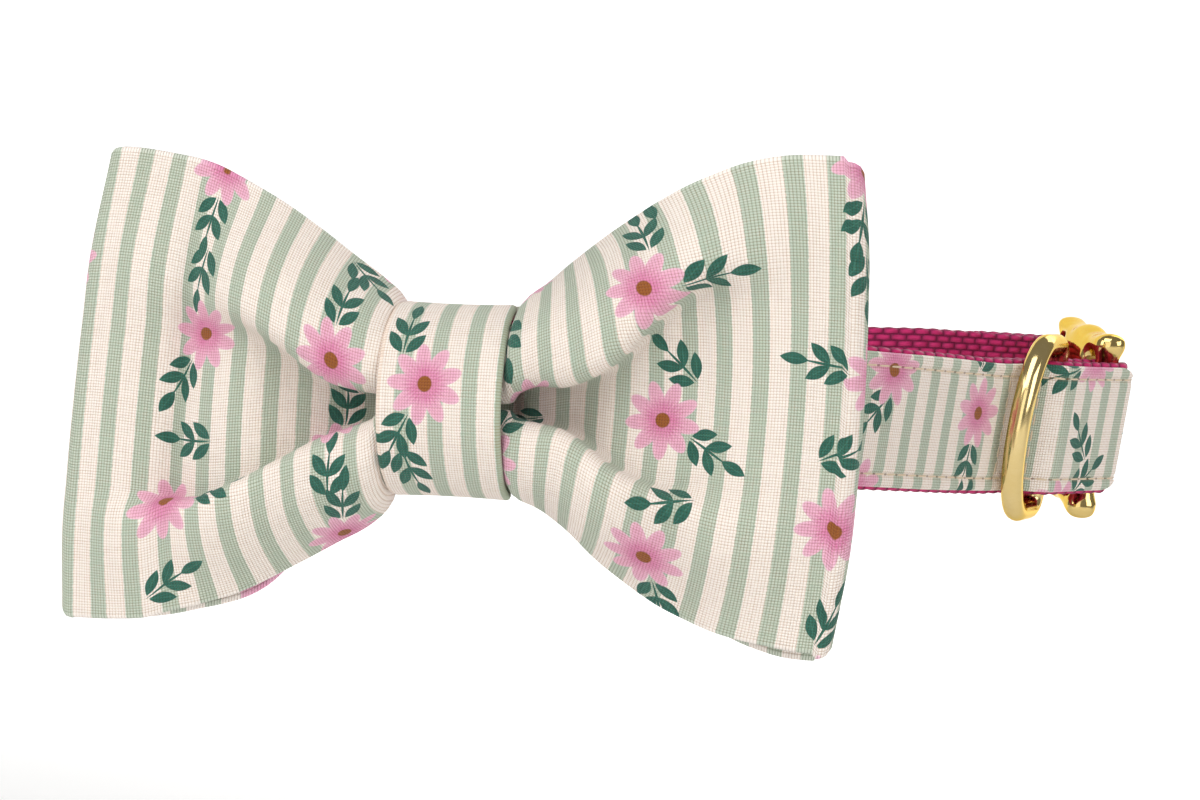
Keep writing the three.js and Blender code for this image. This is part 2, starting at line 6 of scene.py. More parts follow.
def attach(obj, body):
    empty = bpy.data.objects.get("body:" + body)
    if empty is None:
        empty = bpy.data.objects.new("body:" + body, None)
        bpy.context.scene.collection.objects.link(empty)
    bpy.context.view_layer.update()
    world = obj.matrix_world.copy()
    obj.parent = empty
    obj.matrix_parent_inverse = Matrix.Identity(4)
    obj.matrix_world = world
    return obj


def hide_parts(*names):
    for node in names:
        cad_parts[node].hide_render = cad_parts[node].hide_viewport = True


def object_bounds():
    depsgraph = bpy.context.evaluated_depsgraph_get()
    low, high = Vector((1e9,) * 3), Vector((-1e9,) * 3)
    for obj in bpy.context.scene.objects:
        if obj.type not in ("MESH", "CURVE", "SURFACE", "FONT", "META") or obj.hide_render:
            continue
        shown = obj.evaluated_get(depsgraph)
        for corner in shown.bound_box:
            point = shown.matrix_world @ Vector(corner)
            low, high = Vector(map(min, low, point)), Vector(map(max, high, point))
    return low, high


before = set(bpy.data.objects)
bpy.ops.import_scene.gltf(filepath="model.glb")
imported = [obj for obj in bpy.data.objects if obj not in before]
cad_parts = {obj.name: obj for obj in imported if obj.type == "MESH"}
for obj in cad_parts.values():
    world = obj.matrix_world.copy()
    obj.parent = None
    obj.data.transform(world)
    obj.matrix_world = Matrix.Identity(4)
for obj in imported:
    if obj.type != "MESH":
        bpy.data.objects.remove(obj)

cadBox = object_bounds()
mm = 0.001
weldGap = 1e-6  # metres; points nearer than this are made one

# the camera stands at the photo's angle, a little to the right of the bow and turned by its roll
cameraView = {
    "azimuth": 12.0, "elevation": 4.5, "roll": 5.0,  # degrees
    "target": (0.0, -0.058, 0.0), "distance": 0.470,  # metres
    "lens": 88.1, "shiftX": 0.1183, "clipStart": 0.01,
}


def addCamera(view):
    az, el, roll = (math.radians(view[k]) for k in ("azimuth", "elevation", "roll"))
    ahead = Vector((-math.sin(az) * math.cos(el), math.cos(az) * math.cos(el), -math.sin(el)))
    level = Vector((math.cos(az), math.sin(az), 0))
    above = level.cross(ahead)
    right = level * math.cos(roll) + above * math.sin(roll)
    up = above * math.cos(roll) - level * math.sin(roll)
    eye = Vector(view["target"]) - ahead * view["distance"]
    bpy.ops.object.camera_add()
    camera = bpy.context.object
    camera.name = "photoCamera"
    turn = Matrix((right, up, -ahead)).transposed().to_4x4()
    camera.matrix_world = Matrix.Translation(eye) @ turn
    camera.data.lens = view["lens"]
    camera.data.shift_x = view["shiftX"]
    camera.data.clip_start = view["clipStart"]
    bpy.context.scene.camera = camera


bpy.ops.object.select_all(action="DESELECT")
addCamera(cameraView)
print("camera set")

# pale floor that curves up into a backdrop, well below the collar since it is shown held up
studio = {
    "floorDrop": 0.13, "floorHalf": 2.6, "wallHeight": 2.4, "curve": 0.9, "curveSteps": 16,
    "paper": (0.93, 0.925, 0.915), "grain": 4.0, "grainDark": 0.985, "rough": 0.95,
    "world": 0.25, "glow": 0.75, "glowFrom": 0.1, "glowFull": 0.9,
}
lampsAim = (0.01, -0.03, 0.0)
lamps = [
    {"name": "topSoft", "at": (-0.2, -0.75, 0.9), "size": 0.9, "power": 7.3},
    {"name": "leftSoft", "at": (-1.05, -0.75, 0.45), "size": 0.8, "power": 4.6},
    {"name": "rightSoft", "at": (1.05, -0.65, 0.35), "size": 0.7, "power": 4.5},
    {"name": "frontSoft", "at": (-0.1, -1.2, 0.1), "size": 0.9, "power": 3.0},
    {"name": "backSoft", "at": (0.55, 0.95, 0.75), "size": 0.8, "power": 4.0},
]


def addFloor(values):
    half = values["floorHalf"]
    drop = cadBox[0][2] - values["floorDrop"]
    bpy.ops.mesh.primitive_plane_add(size=2 * half, location=(0, 0, drop))
    floor = bpy.context.object
    floor.name = "paperSweep"
    bpy.ops.object.mode_set(mode="EDIT")
    bpy.ops.mesh.select_mode(type="EDGE")
    bpy.ops.mesh.select_all(action="DESELECT")
    bpy.ops.object.mode_set(mode="OBJECT")
    for edge in floor.data.edges:
        edge.select = all(floor.data.vertices[v].co.y > 0 for v in edge.vertices)
    bpy.ops.object.mode_set(mode="EDIT")
    bpy.ops.mesh.extrude_region_move(TRANSFORM_OT_translate={"value": (0, 0, values["wallHeight"])})
    bpy.ops.object.mode_set(mode="OBJECT")
    bend = floor.modifiers.new("roundCorner", "BEVEL")
    bend.width = values["curve"]
    bend.segments = values["curveSteps"]
    bpy.ops.object.modifier_apply(modifier=bend.name)
    bpy.ops.object.shade_smooth()
    return floor


def addLamp(row):
    bpy.ops.object.light_add(type="AREA", location=row["at"])
    lamp = bpy.context.object
    lamp.name = row["name"]
    lamp.data.energy = row["power"]
    lamp.data.size = row["size"]
    aim = Vector(lampsAim) - Vector(row["at"])
    lamp.rotation_euler = aim.to_track_quat("-Z", "Y").to_euler()


floor = addFloor(studio)
for row in lamps:
    addLamp(row)
world = bpy.data.worlds.new("softRoom")
world.use_nodes = True
roomLight = world.node_tree.nodes["Background"].inputs
roomLight["Color"].default_value = (1, 1, 1, 1)  # white
roomLight["Strength"].default_value = studio["world"]
bpy.context.scene.world = world
bpy.context.scene.view_settings.view_transform = "Standard"
print("studio set")


# makes a piece the only one selected, and the one that operators act on
def selectOnly(piece):
    bpy.ops.object.select_all(action="DESELECT")
    piece.select_set(True)
    bpy.context.view_layer.objects.active = piece


def clamp(value, low, high):
    return max(low, min(high, value))


def mixed(a, b, share):
    return a + (b - a) * share


def smoothStep(value, low, high):
    u = clamp((value - low) / (high - low), 0, 1)
    return u * u * (3 - 2 * u)


# rises over the first pair of values and falls over the second
def between(value, rise, fall):
    return smoothStep(value, *rise) * (1 - smoothStep(value, *fall))


# smooth reading of a table's column between its rows
def readTable(rows, key, column, at):
    i = 0
    while i < len(rows) - 2 and at > rows[i + 1][key]:
        i += 1
    a, b = rows[i], rows[i + 1]
    before, after = rows[max(0, i - 1)], rows[min(len(rows) - 1, i + 2)]
    span = b[key] - a[key]
    u = clamp((at - a[key]) / span, 0, 1)
    slopeA = slopeB = 0
    if i > 0:
        slopeA = (b[column] - before[column]) / (b[key] - before[key])
    if i < len(rows) - 2:
        slopeB = (after[column] - a[column]) / (after[key] - a[key])
    u2, u3 = u * u, u * u * u
    return (a[column] * (2 * u3 - 3 * u2 + 1) + b[column] * (3 * u2 - 2 * u3)
            + slopeA * span * (u3 - 2 * u2 + u) + slopeB * span * (u3 - u2))


# slow waves that stand in for hand-made unevenness, the same on every run; the odd ratios between
# them keep the pattern from repeating
def unevenness(a, b, scale, phase):
    return (math.sin(a / scale + phase) * math.cos(b / (scale * 1.31) - 1.7 * phase)
            + 0.6 * math.sin(0.63 * a / scale - 1.13 * b / scale + 2.1 * phase)) / 1.6


# mesh object from points in mm, quads and one UV in mm for each corner
def meshPiece(name, points, quads, cornerUv):
    mesh = bpy.data.meshes.new(name)
    mesh.from_pydata([tuple(c * mm for c in p) for p in points], [], quads)
    layer = mesh.uv_layers.new(name="cloth")
    for loop, uv in zip(layer.data, cornerUv):
        loop.uv = uv
    mesh.polygons.foreach_set("use_smooth", [True] * len(mesh.polygons))
    mesh.update()
    piece = bpy.data.objects.new(name, mesh)
    bpy.context.collection.objects.link(piece)
    return piece


# closed cloth wall round a loop of columns; each free edge is rounded over like a pressed fold
def loopWall(name, columns, columnU, rowV, thickness, rimSteps=3):
    count, rows = len(columns), len(columns[0])
    half = thickness / 2
    rim = [math.pi * k / (rimSteps + 1) for k in range(1, rimSteps + 1)]
    # row of the cloth and angle out of its middle, once round the wall's section
    profile = [(j, math.pi / 2) for j in range(rows)]
    profile += [(rows - 1, math.pi / 2 - angle) for angle in rim]
    profile += [(j, -math.pi / 2) for j in reversed(range(rows))]
    profile += [(0, -math.pi / 2 - angle) for angle in rim]
    points, ring = [], len(profile)
    for i in range(count):
        before, after = columns[i - 1], columns[(i + 1) % count]
        column = columns[i]
        for j, angle in profile:
            along = after[j] - before[j]
            up = column[min(j + 1, rows - 1)] - column[max(j - 1, 0)]
            out = along.cross(up).normalized()
            past = up.normalized()
            points.append(column[j] + out * (half * math.sin(angle))
                          + past * (half * math.cos(angle)))
    quads, cornerUv = [], []
    for i in range(count):
        nextI = (i + 1) % count
        for k in range(ring):
            nextK = (k + 1) % ring
            quads.append((i * ring + k, nextI * ring + k,
                          nextI * ring + nextK, i * ring + nextK))
            u0, u1 = columnU[i], columnU[i + 1]
            v0, v1 = rowV[profile[k][0]], rowV[profile[nextK][0]]
            cornerUv += [(u0, v0), (u1, v0), (u1, v1), (u0, v1)]
    return meshPiece(name, points, quads, cornerUv)


# Bow: one loop of doubled cloth. Lengths in mm of cloth from the lower edge up: to the lower ridge,
# down into the valley, its floor, out to the upper ridge, and the rest to the top edge.
# Each turn is how far that stretch leans back at its steepest, in degrees. Above and below are the
# outline's height from the middle; the free edges roll back as far as that height needs.
wingColumns = ["out", "low", "lowIn", "floor", "upIn", "lowInTurn", "upInTurn",
               "above", "below", "edge"]
bow = {
    "height": 77.6, "wall": 1.5, "tilt": -3.3, "frontY": -58.0, "endBow": 0.4,
    "cornerRadius": 1.7, "rim": 0.75, "backSwell": 2.2,
    "columns": 66, "rows": 84, "backColumns": 44, "foldSteps": 9,
    "fineRows": 8, "fineColumns": 2, "fitEvery": 4, "leastRun": 0.3,  # how finely it is worked out
    "rollFrom": 24.0, "rollTo": 46.0, "rollEase": 0.5, "steepestRoll": 125,
    # each pair below is where, in mm from the middle, a rise or a fall starts and ends
    "gatherIn": (8, 25), "gatherOut": (28, 67),
    "pucker": 0.5, "puckerIn": (11, 16), "puckerOut": (17, 34),
    "puckerFolds": 15, "puckerTwist": 0.05, "puckerBeat": 7, "puckerUneven": 0.4,
    "wave": 0.35, "waveIn": (26, 44), "waveOut": (56, 65), "waveLength": 7.5, "waveSpan": 38,
    "left": {"side": -1, "slant": -3.3, "phase": 0.7, "gatherAbove": 0.5, "gatherBelow": 2.5,
             "rows": [
        [0, 20, 18, 0, 18, 112, 112, 11.4, 11.4, 5.4],
        [9.8, 20, 18, 0, 18, 112, 112, 11.4, 11.4, 5.4],
        [11.6, 20.5, 17.5, 0.5, 18, 106, 104, 15.8, 17, 3.2],
        [15.4, 20.5, 16.5, 1.5, 18, 103, 98, 19, 21, 1.8],
        [21, 20, 14.5, 5, 16.5, 102, 94, 22.5, 24.2, 0.4],
        [29, 19, 10.5, 14, 14, 100, 87, 27.5, 28.5, -0.8],
        [37, 18, 8, 22, 10.5, 96, 67, 31.8, 32.6, -1.8],
        [44, 16, 7.5, 25.5, 10, 98, 40, 34.8, 35, -2.2],
        [49, 16, 7, 26, 10, 90, 25, 36.7, 36.3, -2.4],
        [54, 16, 6.5, 26, 10, 50, 13, 37.8, 37.8, -2.4],
        [65.2, 16, 6.5, 26, 10, 2, 2, 39, 38.5, -2.3]]},
    "right": {"side": 1, "slant": 1.0, "phase": 2.3, "gatherAbove": 7.6, "gatherBelow": 4.6,
              "rows": [
        [0, 20, 18, 0, 18, 112, 112, 11.4, 11.4, 5.4],
        [9.8, 20, 18, 0, 18, 112, 112, 11.4, 11.4, 5.4],
        [11.6, 19.5, 17.5, 0.5, 18, 106, 105, 16.4, 15, 3.2],
        [15.4, 19, 17, 2, 17.5, 103, 101, 19.5, 16.8, 1.8],
        [21, 18.5, 15, 3.5, 16.5, 102, 99, 23.8, 19.8, 0.4],
        [29, 18, 10.5, 13, 12, 97, 94, 29, 25.2, -1],
        [38, 18.5, 7, 25.5, 9.5, 79, 86, 33.8, 30.6, -1.9],
        [44, 18.5, 7, 29, 9.5, 53, 68, 36.6, 33.2, -2.2],
        [50, 18, 7.5, 29, 9, 32, 36, 39, 35, -2.4],
        [57, 18, 7.5, 29, 9, 12, 10, 40.4, 36.2, -2.4],
        [65.4, 18, 7.5, 29, 9, 2, 2, 40.5, 37, -2.3]]},
    "backPanel": [
        {"share": 0.0, "above": 0.32, "leftBelow": 0.32, "rightBelow": 0.32, "depth": 8.3},
        {"share": 0.19, "above": 0.33, "leftBelow": 0.33, "rightBelow": 0.33, "depth": 8.3},
        {"share": 0.34, "above": 0.48, "leftBelow": 0.5, "rightBelow": 0.44, "depth": 8.0},
        {"share": 0.52, "above": 0.72, "leftBelow": 0.84, "rightBelow": 0.68, "depth": 7.0},
        {"share": 0.72, "above": 0.91, "leftBelow": 0.96, "rightBelow": 0.9, "depth": 4.6},
        {"share": 0.88, "above": 0.985, "leftBelow": 1.0, "rightBelow": 0.985, "depth": 2.8},
        {"share": 1.0, "above": 1.0, "leftBelow": 1.0, "rightBelow": 1.0, "depth": 2.3}],
}
for wing in (bow["left"], bow["right"]):
    wing["table"] = [dict(zip(wingColumns, row)) for row in wing["rows"]]


# value between the two ends at which a falling function comes down to the level
def fallsTo(level, low, high, value, halvings=18):
    for _ in range(halvings):
        middle = (low + high) / 2
        if value(middle) > level:
            low = middle
        else:
            high = middle
    return (low + high) / 2


# one section of the front panel: depth and height of each row of cloth, lower edge first
def bowSection(table, out):
    read = {name: readTable(table, "out", name, out) for name in wingColumns[1:]}
    lengths = [read[k] for k in ("low", "lowIn", "floor", "upIn")]
    lengths.append(bow["height"] - sum(lengths))
    ends = [sum(lengths[:k + 1]) for k in range(len(lengths))]
    top = len(lengths) - 1
    # near the knot the edges of the cloth stay rolled back; further out they straighten
    roll = 1 - bow["rollEase"] * smoothStep(out, bow["rollFrom"], bow["rollTo"])
    count = bow["rows"] * bow["fineRows"]
    step = bow["height"] / count
    stretch = 0
    bends = []
    for i in range(count):
        along = (i + 0.5) * step
        while stretch < top and along > ends[stretch]:
            stretch += 1
        share = (along - ends[stretch] + lengths[stretch]) / max(lengths[stretch], 1e-6)
        bend = math.sin(math.pi * share)
        if stretch == 0:
            bend = mixed(bend, math.cos(math.pi * share / 2), roll)
        if stretch == top:
            bend = mixed(bend, math.sin(math.pi * share / 2), roll)
        bends.append((stretch, bend))

    def leans(edgeTurn, every=1):
        degrees = (-edgeTurn, read["lowInTurn"], 0, -read["upInTurn"], edgeTurn)
        turns = [math.radians(turn) for turn in degrees]
        return [turns[k] * bend for k, bend in bends[::every]]

    def tall(edgeTurn):
        every = bow["fitEvery"]
        return sum(math.cos(lean) for lean in leans(edgeTurn, every)) * step * every

    edgeTurn = fallsTo(read["above"] + read["below"], 0, bow["steepestRoll"], tall)
    y = z = 0.0
    section = [(0.0, 0.0)]
    for i, lean in enumerate(leans(edgeTurn)):
        y += math.sin(lean) * step
        z += math.cos(lean) * step
        if (i + 1) % bow["fineRows"] == 0:
            section.append((y, z))
    middleY = read["edge"] - y / 2
    return [(a + middleY, b - read["below"]) for a, b in section]


# gentle curve that follows the values, so that an end of the bow is never ragged
def parabolaThrough(values):
    count = len(values)
    squares = [(2 * j / (count - 1) - 1) ** 2 for j in range(count)]
    meanS, meanV = sum(squares) / count, sum(values) / count
    slope = (sum((v - meanV) * (q - meanS) for v, q in zip(values, squares))
             / sum((q - meanS) ** 2 for q in squares))
    return [meanV + bow["endBow"] * slope * (q - meanS) for q in squares]


# front half of one wing as columns of points; the cloth about keeps its length along each row
def frontWing(wing):
    length = wing["table"][-1]["out"]
    fine, rows = bow["fineColumns"], bow["rows"]
    steps = bow["columns"] * fine
    run = length / steps
    last = bowSection(wing["table"], 0)
    reach = [0.0] * (rows + 1)
    columns = [[Vector((0, y, z)) for y, z in last]]
    for i in range(1, steps + 1):
        section = bowSection(wing["table"], run * i)
        for j in range(rows + 1):
            rise = (section[j][1] - last[j][1]) / run
            back = (section[j][0] - last[j][0]) / run
            reach[j] += run * math.sqrt(max(bow["leastRun"], 1 - rise * rise - back * back))
        last = section
        if i % fine == 0:
            smooth = parabolaThrough(reach)
            lean = wing["slant"] * i / steps
            column = []
            for j, (y, z) in enumerate(section):
                out = smooth[j] + lean * (2 * j / rows - 1)
                column.append(Vector((wing["side"] * out, y, z)))
            columns.append(column)
    return columns


# back half of one wing, narrow behind the knot and full height at the end
def backWing(front, key):
    columns, rows = [], bow["rows"]
    for i in range(bow["backColumns"] + 1):
        share = i / bow["backColumns"]
        above, below, depth = (readTable(bow["backPanel"], "share", k, share)
                               for k in ("above", key + "Below", "depth"))
        column = []
        for j, p in enumerate(front[-1]):
            up = 2 * j / rows - 1
            swell = math.sin(math.pi * share) * bow["backSwell"] * (1 - up * up)
            height = mixed(-below, above, (up + 1) / 2) * bow["height"] / 2
            column.append(Vector((p.x * share, depth + swell, height)))
        columns.append(column)
    return columns


# end fold that joins front and back, bulging past the end of the wing
def endFold(frontColumn, backColumn, side):
    columns = []
    for k in range(1, bow["foldSteps"] + 1):
        angle = math.pi * k / (bow["foldSteps"] + 1)
        column = []
        for p, q in zip(frontColumn, backColumn):
            half = (q.y - p.y) / 2
            column.append(Vector(((p.x + q.x) / 2 + side * half * math.sin(angle),
                                  (p.y + q.y) / 2 - half * math.cos(angle), (p.z + q.z) / 2)))
        columns.append(column)
    return columns


# small gathers that fan out from the knot, and slow waves in the flat cloth
def creaseFront(columns, wing):
    length, phase = wing["table"][-1]["out"], wing["phase"]
    uneven = bow["puckerUneven"]
    for i, column in enumerate(columns):
        out = length * i / (len(columns) - 1)
        fan = between(out, bow["puckerIn"], bow["puckerOut"]) * bow["pucker"]
        flat = between(out, bow["waveIn"], bow["waveOut"]) * bow["wave"]
        for j, p in enumerate(column):
            up = 2 * j / bow["rows"] - 1
            gather = math.sin(up * bow["puckerFolds"] + phase + out * bow["puckerTwist"])
            gather *= 1 - uneven + uneven * math.sin(up * bow["puckerBeat"] - phase)
            wave = unevenness(out, up * bow["waveSpan"], bow["waveLength"], phase)
            p.y += fan * gather + flat * wave


# pulls the edges in near the ends so that each corner of the bow is rounded
def roundCorners(columns, distance):
    radius = bow["cornerRadius"]
    for column, gap in zip(columns, distance):
        into = clamp(radius - gap, 0, radius)
        drop = radius - math.sqrt(max(0, radius * radius - into * into)) + bow["rim"]
        middle = (column[0].z + column[-1].z) / 2
        half = (column[-1].z - column[0].z) / 2
        for p in column:
            p.z = middle + (p.z - middle) * (half - drop) / half


def placeBow(piece):
    piece.data.transform(Matrix.Translation((0, bow["frontY"] * mm, 0))
                         @ Matrix.Rotation(math.radians(bow["tilt"]), 4, "Y"))


# the gathered edges take up more cloth than the middle, so the stripes bend towards the knot there
def bowPrint(piece):
    for point in piece.data.uv_layers[0].data:
        u, v = point.uv
        wing = bow["left"] if u < 0 else bow["right"]
        out, up = abs(u), 2 * v / bow["height"]
        gather = wing["gatherAbove"] if up > 0 else wing["gatherBelow"]
        taken = gather * up * up * between(out, bow["gatherIn"], bow["gatherOut"])
        point.uv[0] = u + math.copysign(taken, u)


def makeBow():
    fronts, backs, folds = {}, {}, {}
    for key in ("left", "right"):
        wing = bow[key]
        fronts[key] = frontWing(wing)
        creaseFront(fronts[key], wing)
        backs[key] = backWing(fronts[key], key)
        folds[key] = endFold(fronts[key][-1], backs[key][-1], wing["side"])
    # the loop starts and ends at the middle of the back, where the cloth's seam is
    loop = backs["left"] + folds["left"][::-1] + fronts["left"][:0:-1]
    loop += fronts["right"] + folds["right"] + backs["right"][:0:-1]
    lead = len(backs["left"]) + len(folds["left"])
    rows = bow["rows"]
    # cloth length along the loop's middle row, counted from the middle of the front
    middle = rows // 2
    start = bow["columns"]
    lengths = [0.0]
    for i in range(len(loop)):
        lengths.append(lengths[-1] + (loop[(i + 1) % len(loop)][middle] - loop[i][middle]).length)
    columnU = []
    for i in range(len(loop) + 1):
        share = (i - lead) / start - 1
        side = bow["left"] if share < 0 else bow["right"]
        beyond = lengths[i] - lengths[lead + start + int(math.copysign(start, share))]
        onFront = clamp(share, -1, 1) * side["table"][-1]["out"]
        columnU.append(onFront + (beyond if abs(share) > 1 else 0))
    ends = [min(c[middle].x for c in loop), max(c[middle].x for c in loop)]
    roundCorners(loop, [min(abs(c[middle].x - end) for end in ends) for c in loop])
    rowV = [bow["height"] * (j / rows - 0.5) for j in range(rows + 1)]
    piece = loopWall("bowCloth", loop, columnU, rowV, bow["wall"])
    bowPrint(piece)
    placeBow(piece)
    return piece, lengths[-1]


bowCloth, bowLength = makeBow()
print("bow folded from", round(bowLength), "mm of cloth,", len(bowCloth.data.polygons), "faces")

# Knot band: round in front, flat behind the strap
knot = {
    "width": 19.8, "wall": 1.4, "front": -15.1, "roundFrom": -1.0, "back": 18.4, "backCorner": 3.2,
    "halfHeight": 15.5, "backHalf": 14.8, "backWidth": 15.0, "backFrom": 10.0, "handle": 4.0,
    "flare": 0.2, "flareLevel": 0.4, "rim": 0.6, "pressed": 0.1, "waist": 0.5, "waistAt": (9, 15),
    "wave": 0.12, "waveSpan": 11, "waveLength": 4.2, "phase": 1.1,
    "columns": 28, "steps": 190, "cornerSteps": 10, "sideSteps": 24, "frontSteps": 90,
}


def arcPoints(cx, cy, rx, ry, start, end, count):
    angles = [mixed(start, end, k / count) for k in range(count + 1)]
    return [(cx + rx * math.cos(angle), cy + ry * math.sin(angle)) for angle in angles]


def bezierPoints(a, b, c, d, count):
    points = []
    for k in range(count + 1):
        u = k / count
        w = ((1 - u) ** 3, 3 * u * (1 - u) ** 2, 3 * u * u * (1 - u), u ** 3)
        points.append(tuple(sum(q * p[n] for q, p in zip(w, (a, b, c, d))) for n in (0, 1)))
    return points


# even steps along a closed line
def evenSteps(line, count):
    closed = line + [line[0]]
    runs = [0.0]
    for a, b in zip(closed, closed[1:]):
        runs.append(runs[-1] + math.dist(a, b))
    points, k = [], 0
    for i in range(count):
        want = runs[-1] * i / count
        while runs[k + 1] < want:
            k += 1
        u = (want - runs[k]) / max(runs[k + 1] - runs[k], 1e-9)
        points.append(tuple(mixed(a, b, u) for a, b in zip(closed[k], closed[k + 1])))
    return points, runs[-1]


def makeKnot():
    wall = knot["wall"] / 2
    high, low = knot["halfHeight"] - wall, knot["backHalf"] - wall
    back, corner, start = knot["back"] - wall, knot["backCorner"], knot["backFrom"]
    begin, handle = knot["roundFrom"], knot["handle"]
    front = begin - knot["front"] - wall
    quarter = math.pi / 2
    turns, sides = knot["cornerSteps"], knot["sideSteps"]
    line = [(back, -low + corner)]
    line += arcPoints(back - corner, low - corner, corner, corner, 0, quarter, turns)
    line += bezierPoints((start, low), (start - handle, low), (begin + handle, high),
                         (begin, high), sides)
    line += arcPoints(begin, 0, front, high, quarter, 3 * quarter, knot["frontSteps"])[1:]
    line += bezierPoints((begin, -high), (begin + handle, -high), (start - handle, -low),
                         (start, -low), sides)[1:]
    line += arcPoints(back - corner, -low + corner, corner, corner,
                      3 * quarter, 4 * quarter, turns)[:-1]
    outline, around = evenSteps(line, knot["steps"])
    columns = []
    for depth, height in outline:
        behind = smoothStep(depth, begin - handle, start)
        width = mixed(knot["width"], knot["backWidth"], behind) - 2 * knot["rim"]
        # the band is drawn in a little where it turns over the top and bottom of the bow
        width -= knot["waist"] * (1 - behind) * smoothStep(abs(height), *knot["waistAt"])
        column = []
        for j in range(knot["columns"] + 1):
            across = 2 * j / knot["columns"] - 1
            flare = knot["flare"] * (across * across - knot["flareLevel"])
            grow = 1 + flare / knot["halfHeight"]
            wave = unevenness(across * knot["waveSpan"], height, knot["waveLength"], knot["phase"])
            lift = knot["wave"] * (1 - behind) * wave
            column.append(Vector((across * width / 2, depth * grow - lift, height * grow)))
        columns.append(column)
    columnU = [around * (i / len(columns) - 0.5) for i in range(len(columns) + 1)]
    rowV = [knot["width"] * (j / knot["columns"] - 0.5) for j in range(knot["columns"] + 1)]
    piece = loopWall("knotBand", columns, columnU, rowV, knot["wall"] - knot["pressed"])
    placeBow(piece)
    return piece, around


knotBand, knotLength = makeKnot()
print("knot band of", round(knotLength), "mm,", len(knotBand.data.polygons), "faces")

# Strap: webbing folded round both bars of the buckle, with the printed cover on its outer face.
# The plan of its middle line runs from the front bar, past the knot, to the back bar.
strap = {
    "width": 25.0, "thick": 1.6, "step": 0.5, "spanSteps": 60, "neckY": 58.0, "leanDeg": 5.0,
    "frontBar": {"x": 100.0, "y": 107.0, "z": -1.0, "heading": 58.0},
    "backBar": {"x": 92.4, "y": 146.3, "z": 1.3, "heading": 40.0},
    "barRadius": 2.2, "barGap": 0.3, "turnStep": 5,
    "tail": 36.0, "backTail": 19.0, "backTailFrom": 5.0, "lead": (31, 36),
    "layersOpen": 19.0, "layersPart": 26.0, "outerSeat": -0.2, "layerGap": 0.3,
    "knotTilt": (14, 45), "buckleLean": (25, 75),  # where each starts and ends, mm
    "plan": {
        "rightOfBow": (61.5, 46.5, 0.4), "rightBend": (35.0, 22.0, 1.0),
        "knotRight": (12.0, 14.6, 0.7), "knotLeft": (-12.0, 14.6, -0.7),
        "leftBend": (-37.0, 21.0, -1.2), "leftTurn": (-62.0, 38.0, -0.6),
        "leftEnd": (-69.0, 61.0, -0.8), "backTurn": (-54.0, 83.0, -2.0),
        "backLeft": (-18.0, 97.0, -3.2), "backMiddle": (24.0, 108.0, -1.4)},
}
webbing = {
    "rib": 3.1, "groove": 0.24, "sharp": 1.5, "scallop": 0.16, "faceSteps": 8, "edgeSteps": 5,
}
cover = {
    "width": 23.4, "thick": 1.0, "gap": 0.2, "step": 0.7,
    "faceSteps": 44, "innerSteps": 6, "edgeSteps": 4, "faceFrom": 0.3,
    "seam": 9.35, "seamDip": 0.26, "seamWidth": 0.55, "stitch": 3.0,
    "pucker": 0.07, "puckerWidth": 1.6, "edgeAt": (10, 11.5),
    "wave": 0.09, "waveLength": 5.0, "waveRow": 3, "phase": 0.4,
    "corner": 1.6, "cornerReach": 2.2, "cornerTurn": 0.75,
    "crossSeams": (24.5, 34.5),  # mm back from the front bar, either side of the ring
    "crossDip": 0.2, "crossWidth": 0.6, "crossStitches": 6,
}


def headingOf(deg):
    return Vector((math.cos(math.radians(deg)), math.sin(math.radians(deg))))


def leftOf(d):
    return Vector((-d.y, d.x))


def planOf(row):
    return Vector((row["x"], row["y"] - strap["neckY"]))


leanOut = leftOf(headingOf(strap["frontBar"]["heading"]))
leanOut *= -math.tan(math.radians(strap["leanDeg"]))
backRise = strap["backBar"]["z"] - strap["frontBar"]["z"]
foldRadius = strap["barRadius"] + strap["barGap"] + strap["thick"] / 2


# one folded end, from the tail's end round the bar and back along the outer layer, in steps of half
# a mm, with the two points that lead on into the loop
def foldedEnd(bar, outerSide):
    centre, ahead = planOf(bar), headingOf(bar["heading"])
    out = leftOf(ahead) * outerSide
    tailSeat = strap["outerSeat"] - strap["thick"] - strap["layerGap"]

    def at(back, side):
        return centre - ahead * back + out * side

    def parted(back):
        return smoothStep(back, strap["layersOpen"], strap["layersPart"])

    count = int(strap["tail"] * 2)
    tail = [at(b / 2, mixed(-foldRadius, tailSeat, parted(b / 2))) for b in range(count, 0, -1)]
    turn = [at(-foldRadius * math.cos(math.radians(d)), foldRadius * math.sin(math.radians(d)))
            for d in range(-90, 91, strap["turnStep"])]
    outer = [at(b / 2, mixed(foldRadius, strap["outerSeat"], parted(b / 2)))
             for b in range(1, strap["lead"][0] * 2)]
    return tail + turn + outer, [at(b, strap["outerSeat"]) for b in strap["lead"]]


# smooth line through points with steps shared by their spacing
def smoothLine(points, perSpan):
    ends = [points[0] * 2 - points[1]] + points + [points[-1] * 2 - points[-2]]
    line = []
    for p0, p1, p2, p3 in zip(ends, ends[1:], ends[2:], ends[3:]):
        d0, d1, d2 = ((b - a).length ** 0.5 for a, b in ((p0, p1), (p1, p2), (p2, p3)))
        t1 = ((p1 - p0) / d0 - (p2 - p0) / (d0 + d1) + (p2 - p1) / d1) * d1
        t2 = ((p2 - p1) / d1 - (p3 - p1) / (d1 + d2) + (p3 - p2) / d2) * d1
        for k in range(perSpan):
            u = k / perSpan
            line.append(p1 + t1 * u + (p2 * 3 - p1 * 3 - t1 * 2 - t2) * u * u
                        + (p1 * 2 - p2 * 2 + t1 + t2) * u ** 3)
    return line + [points[-1]]


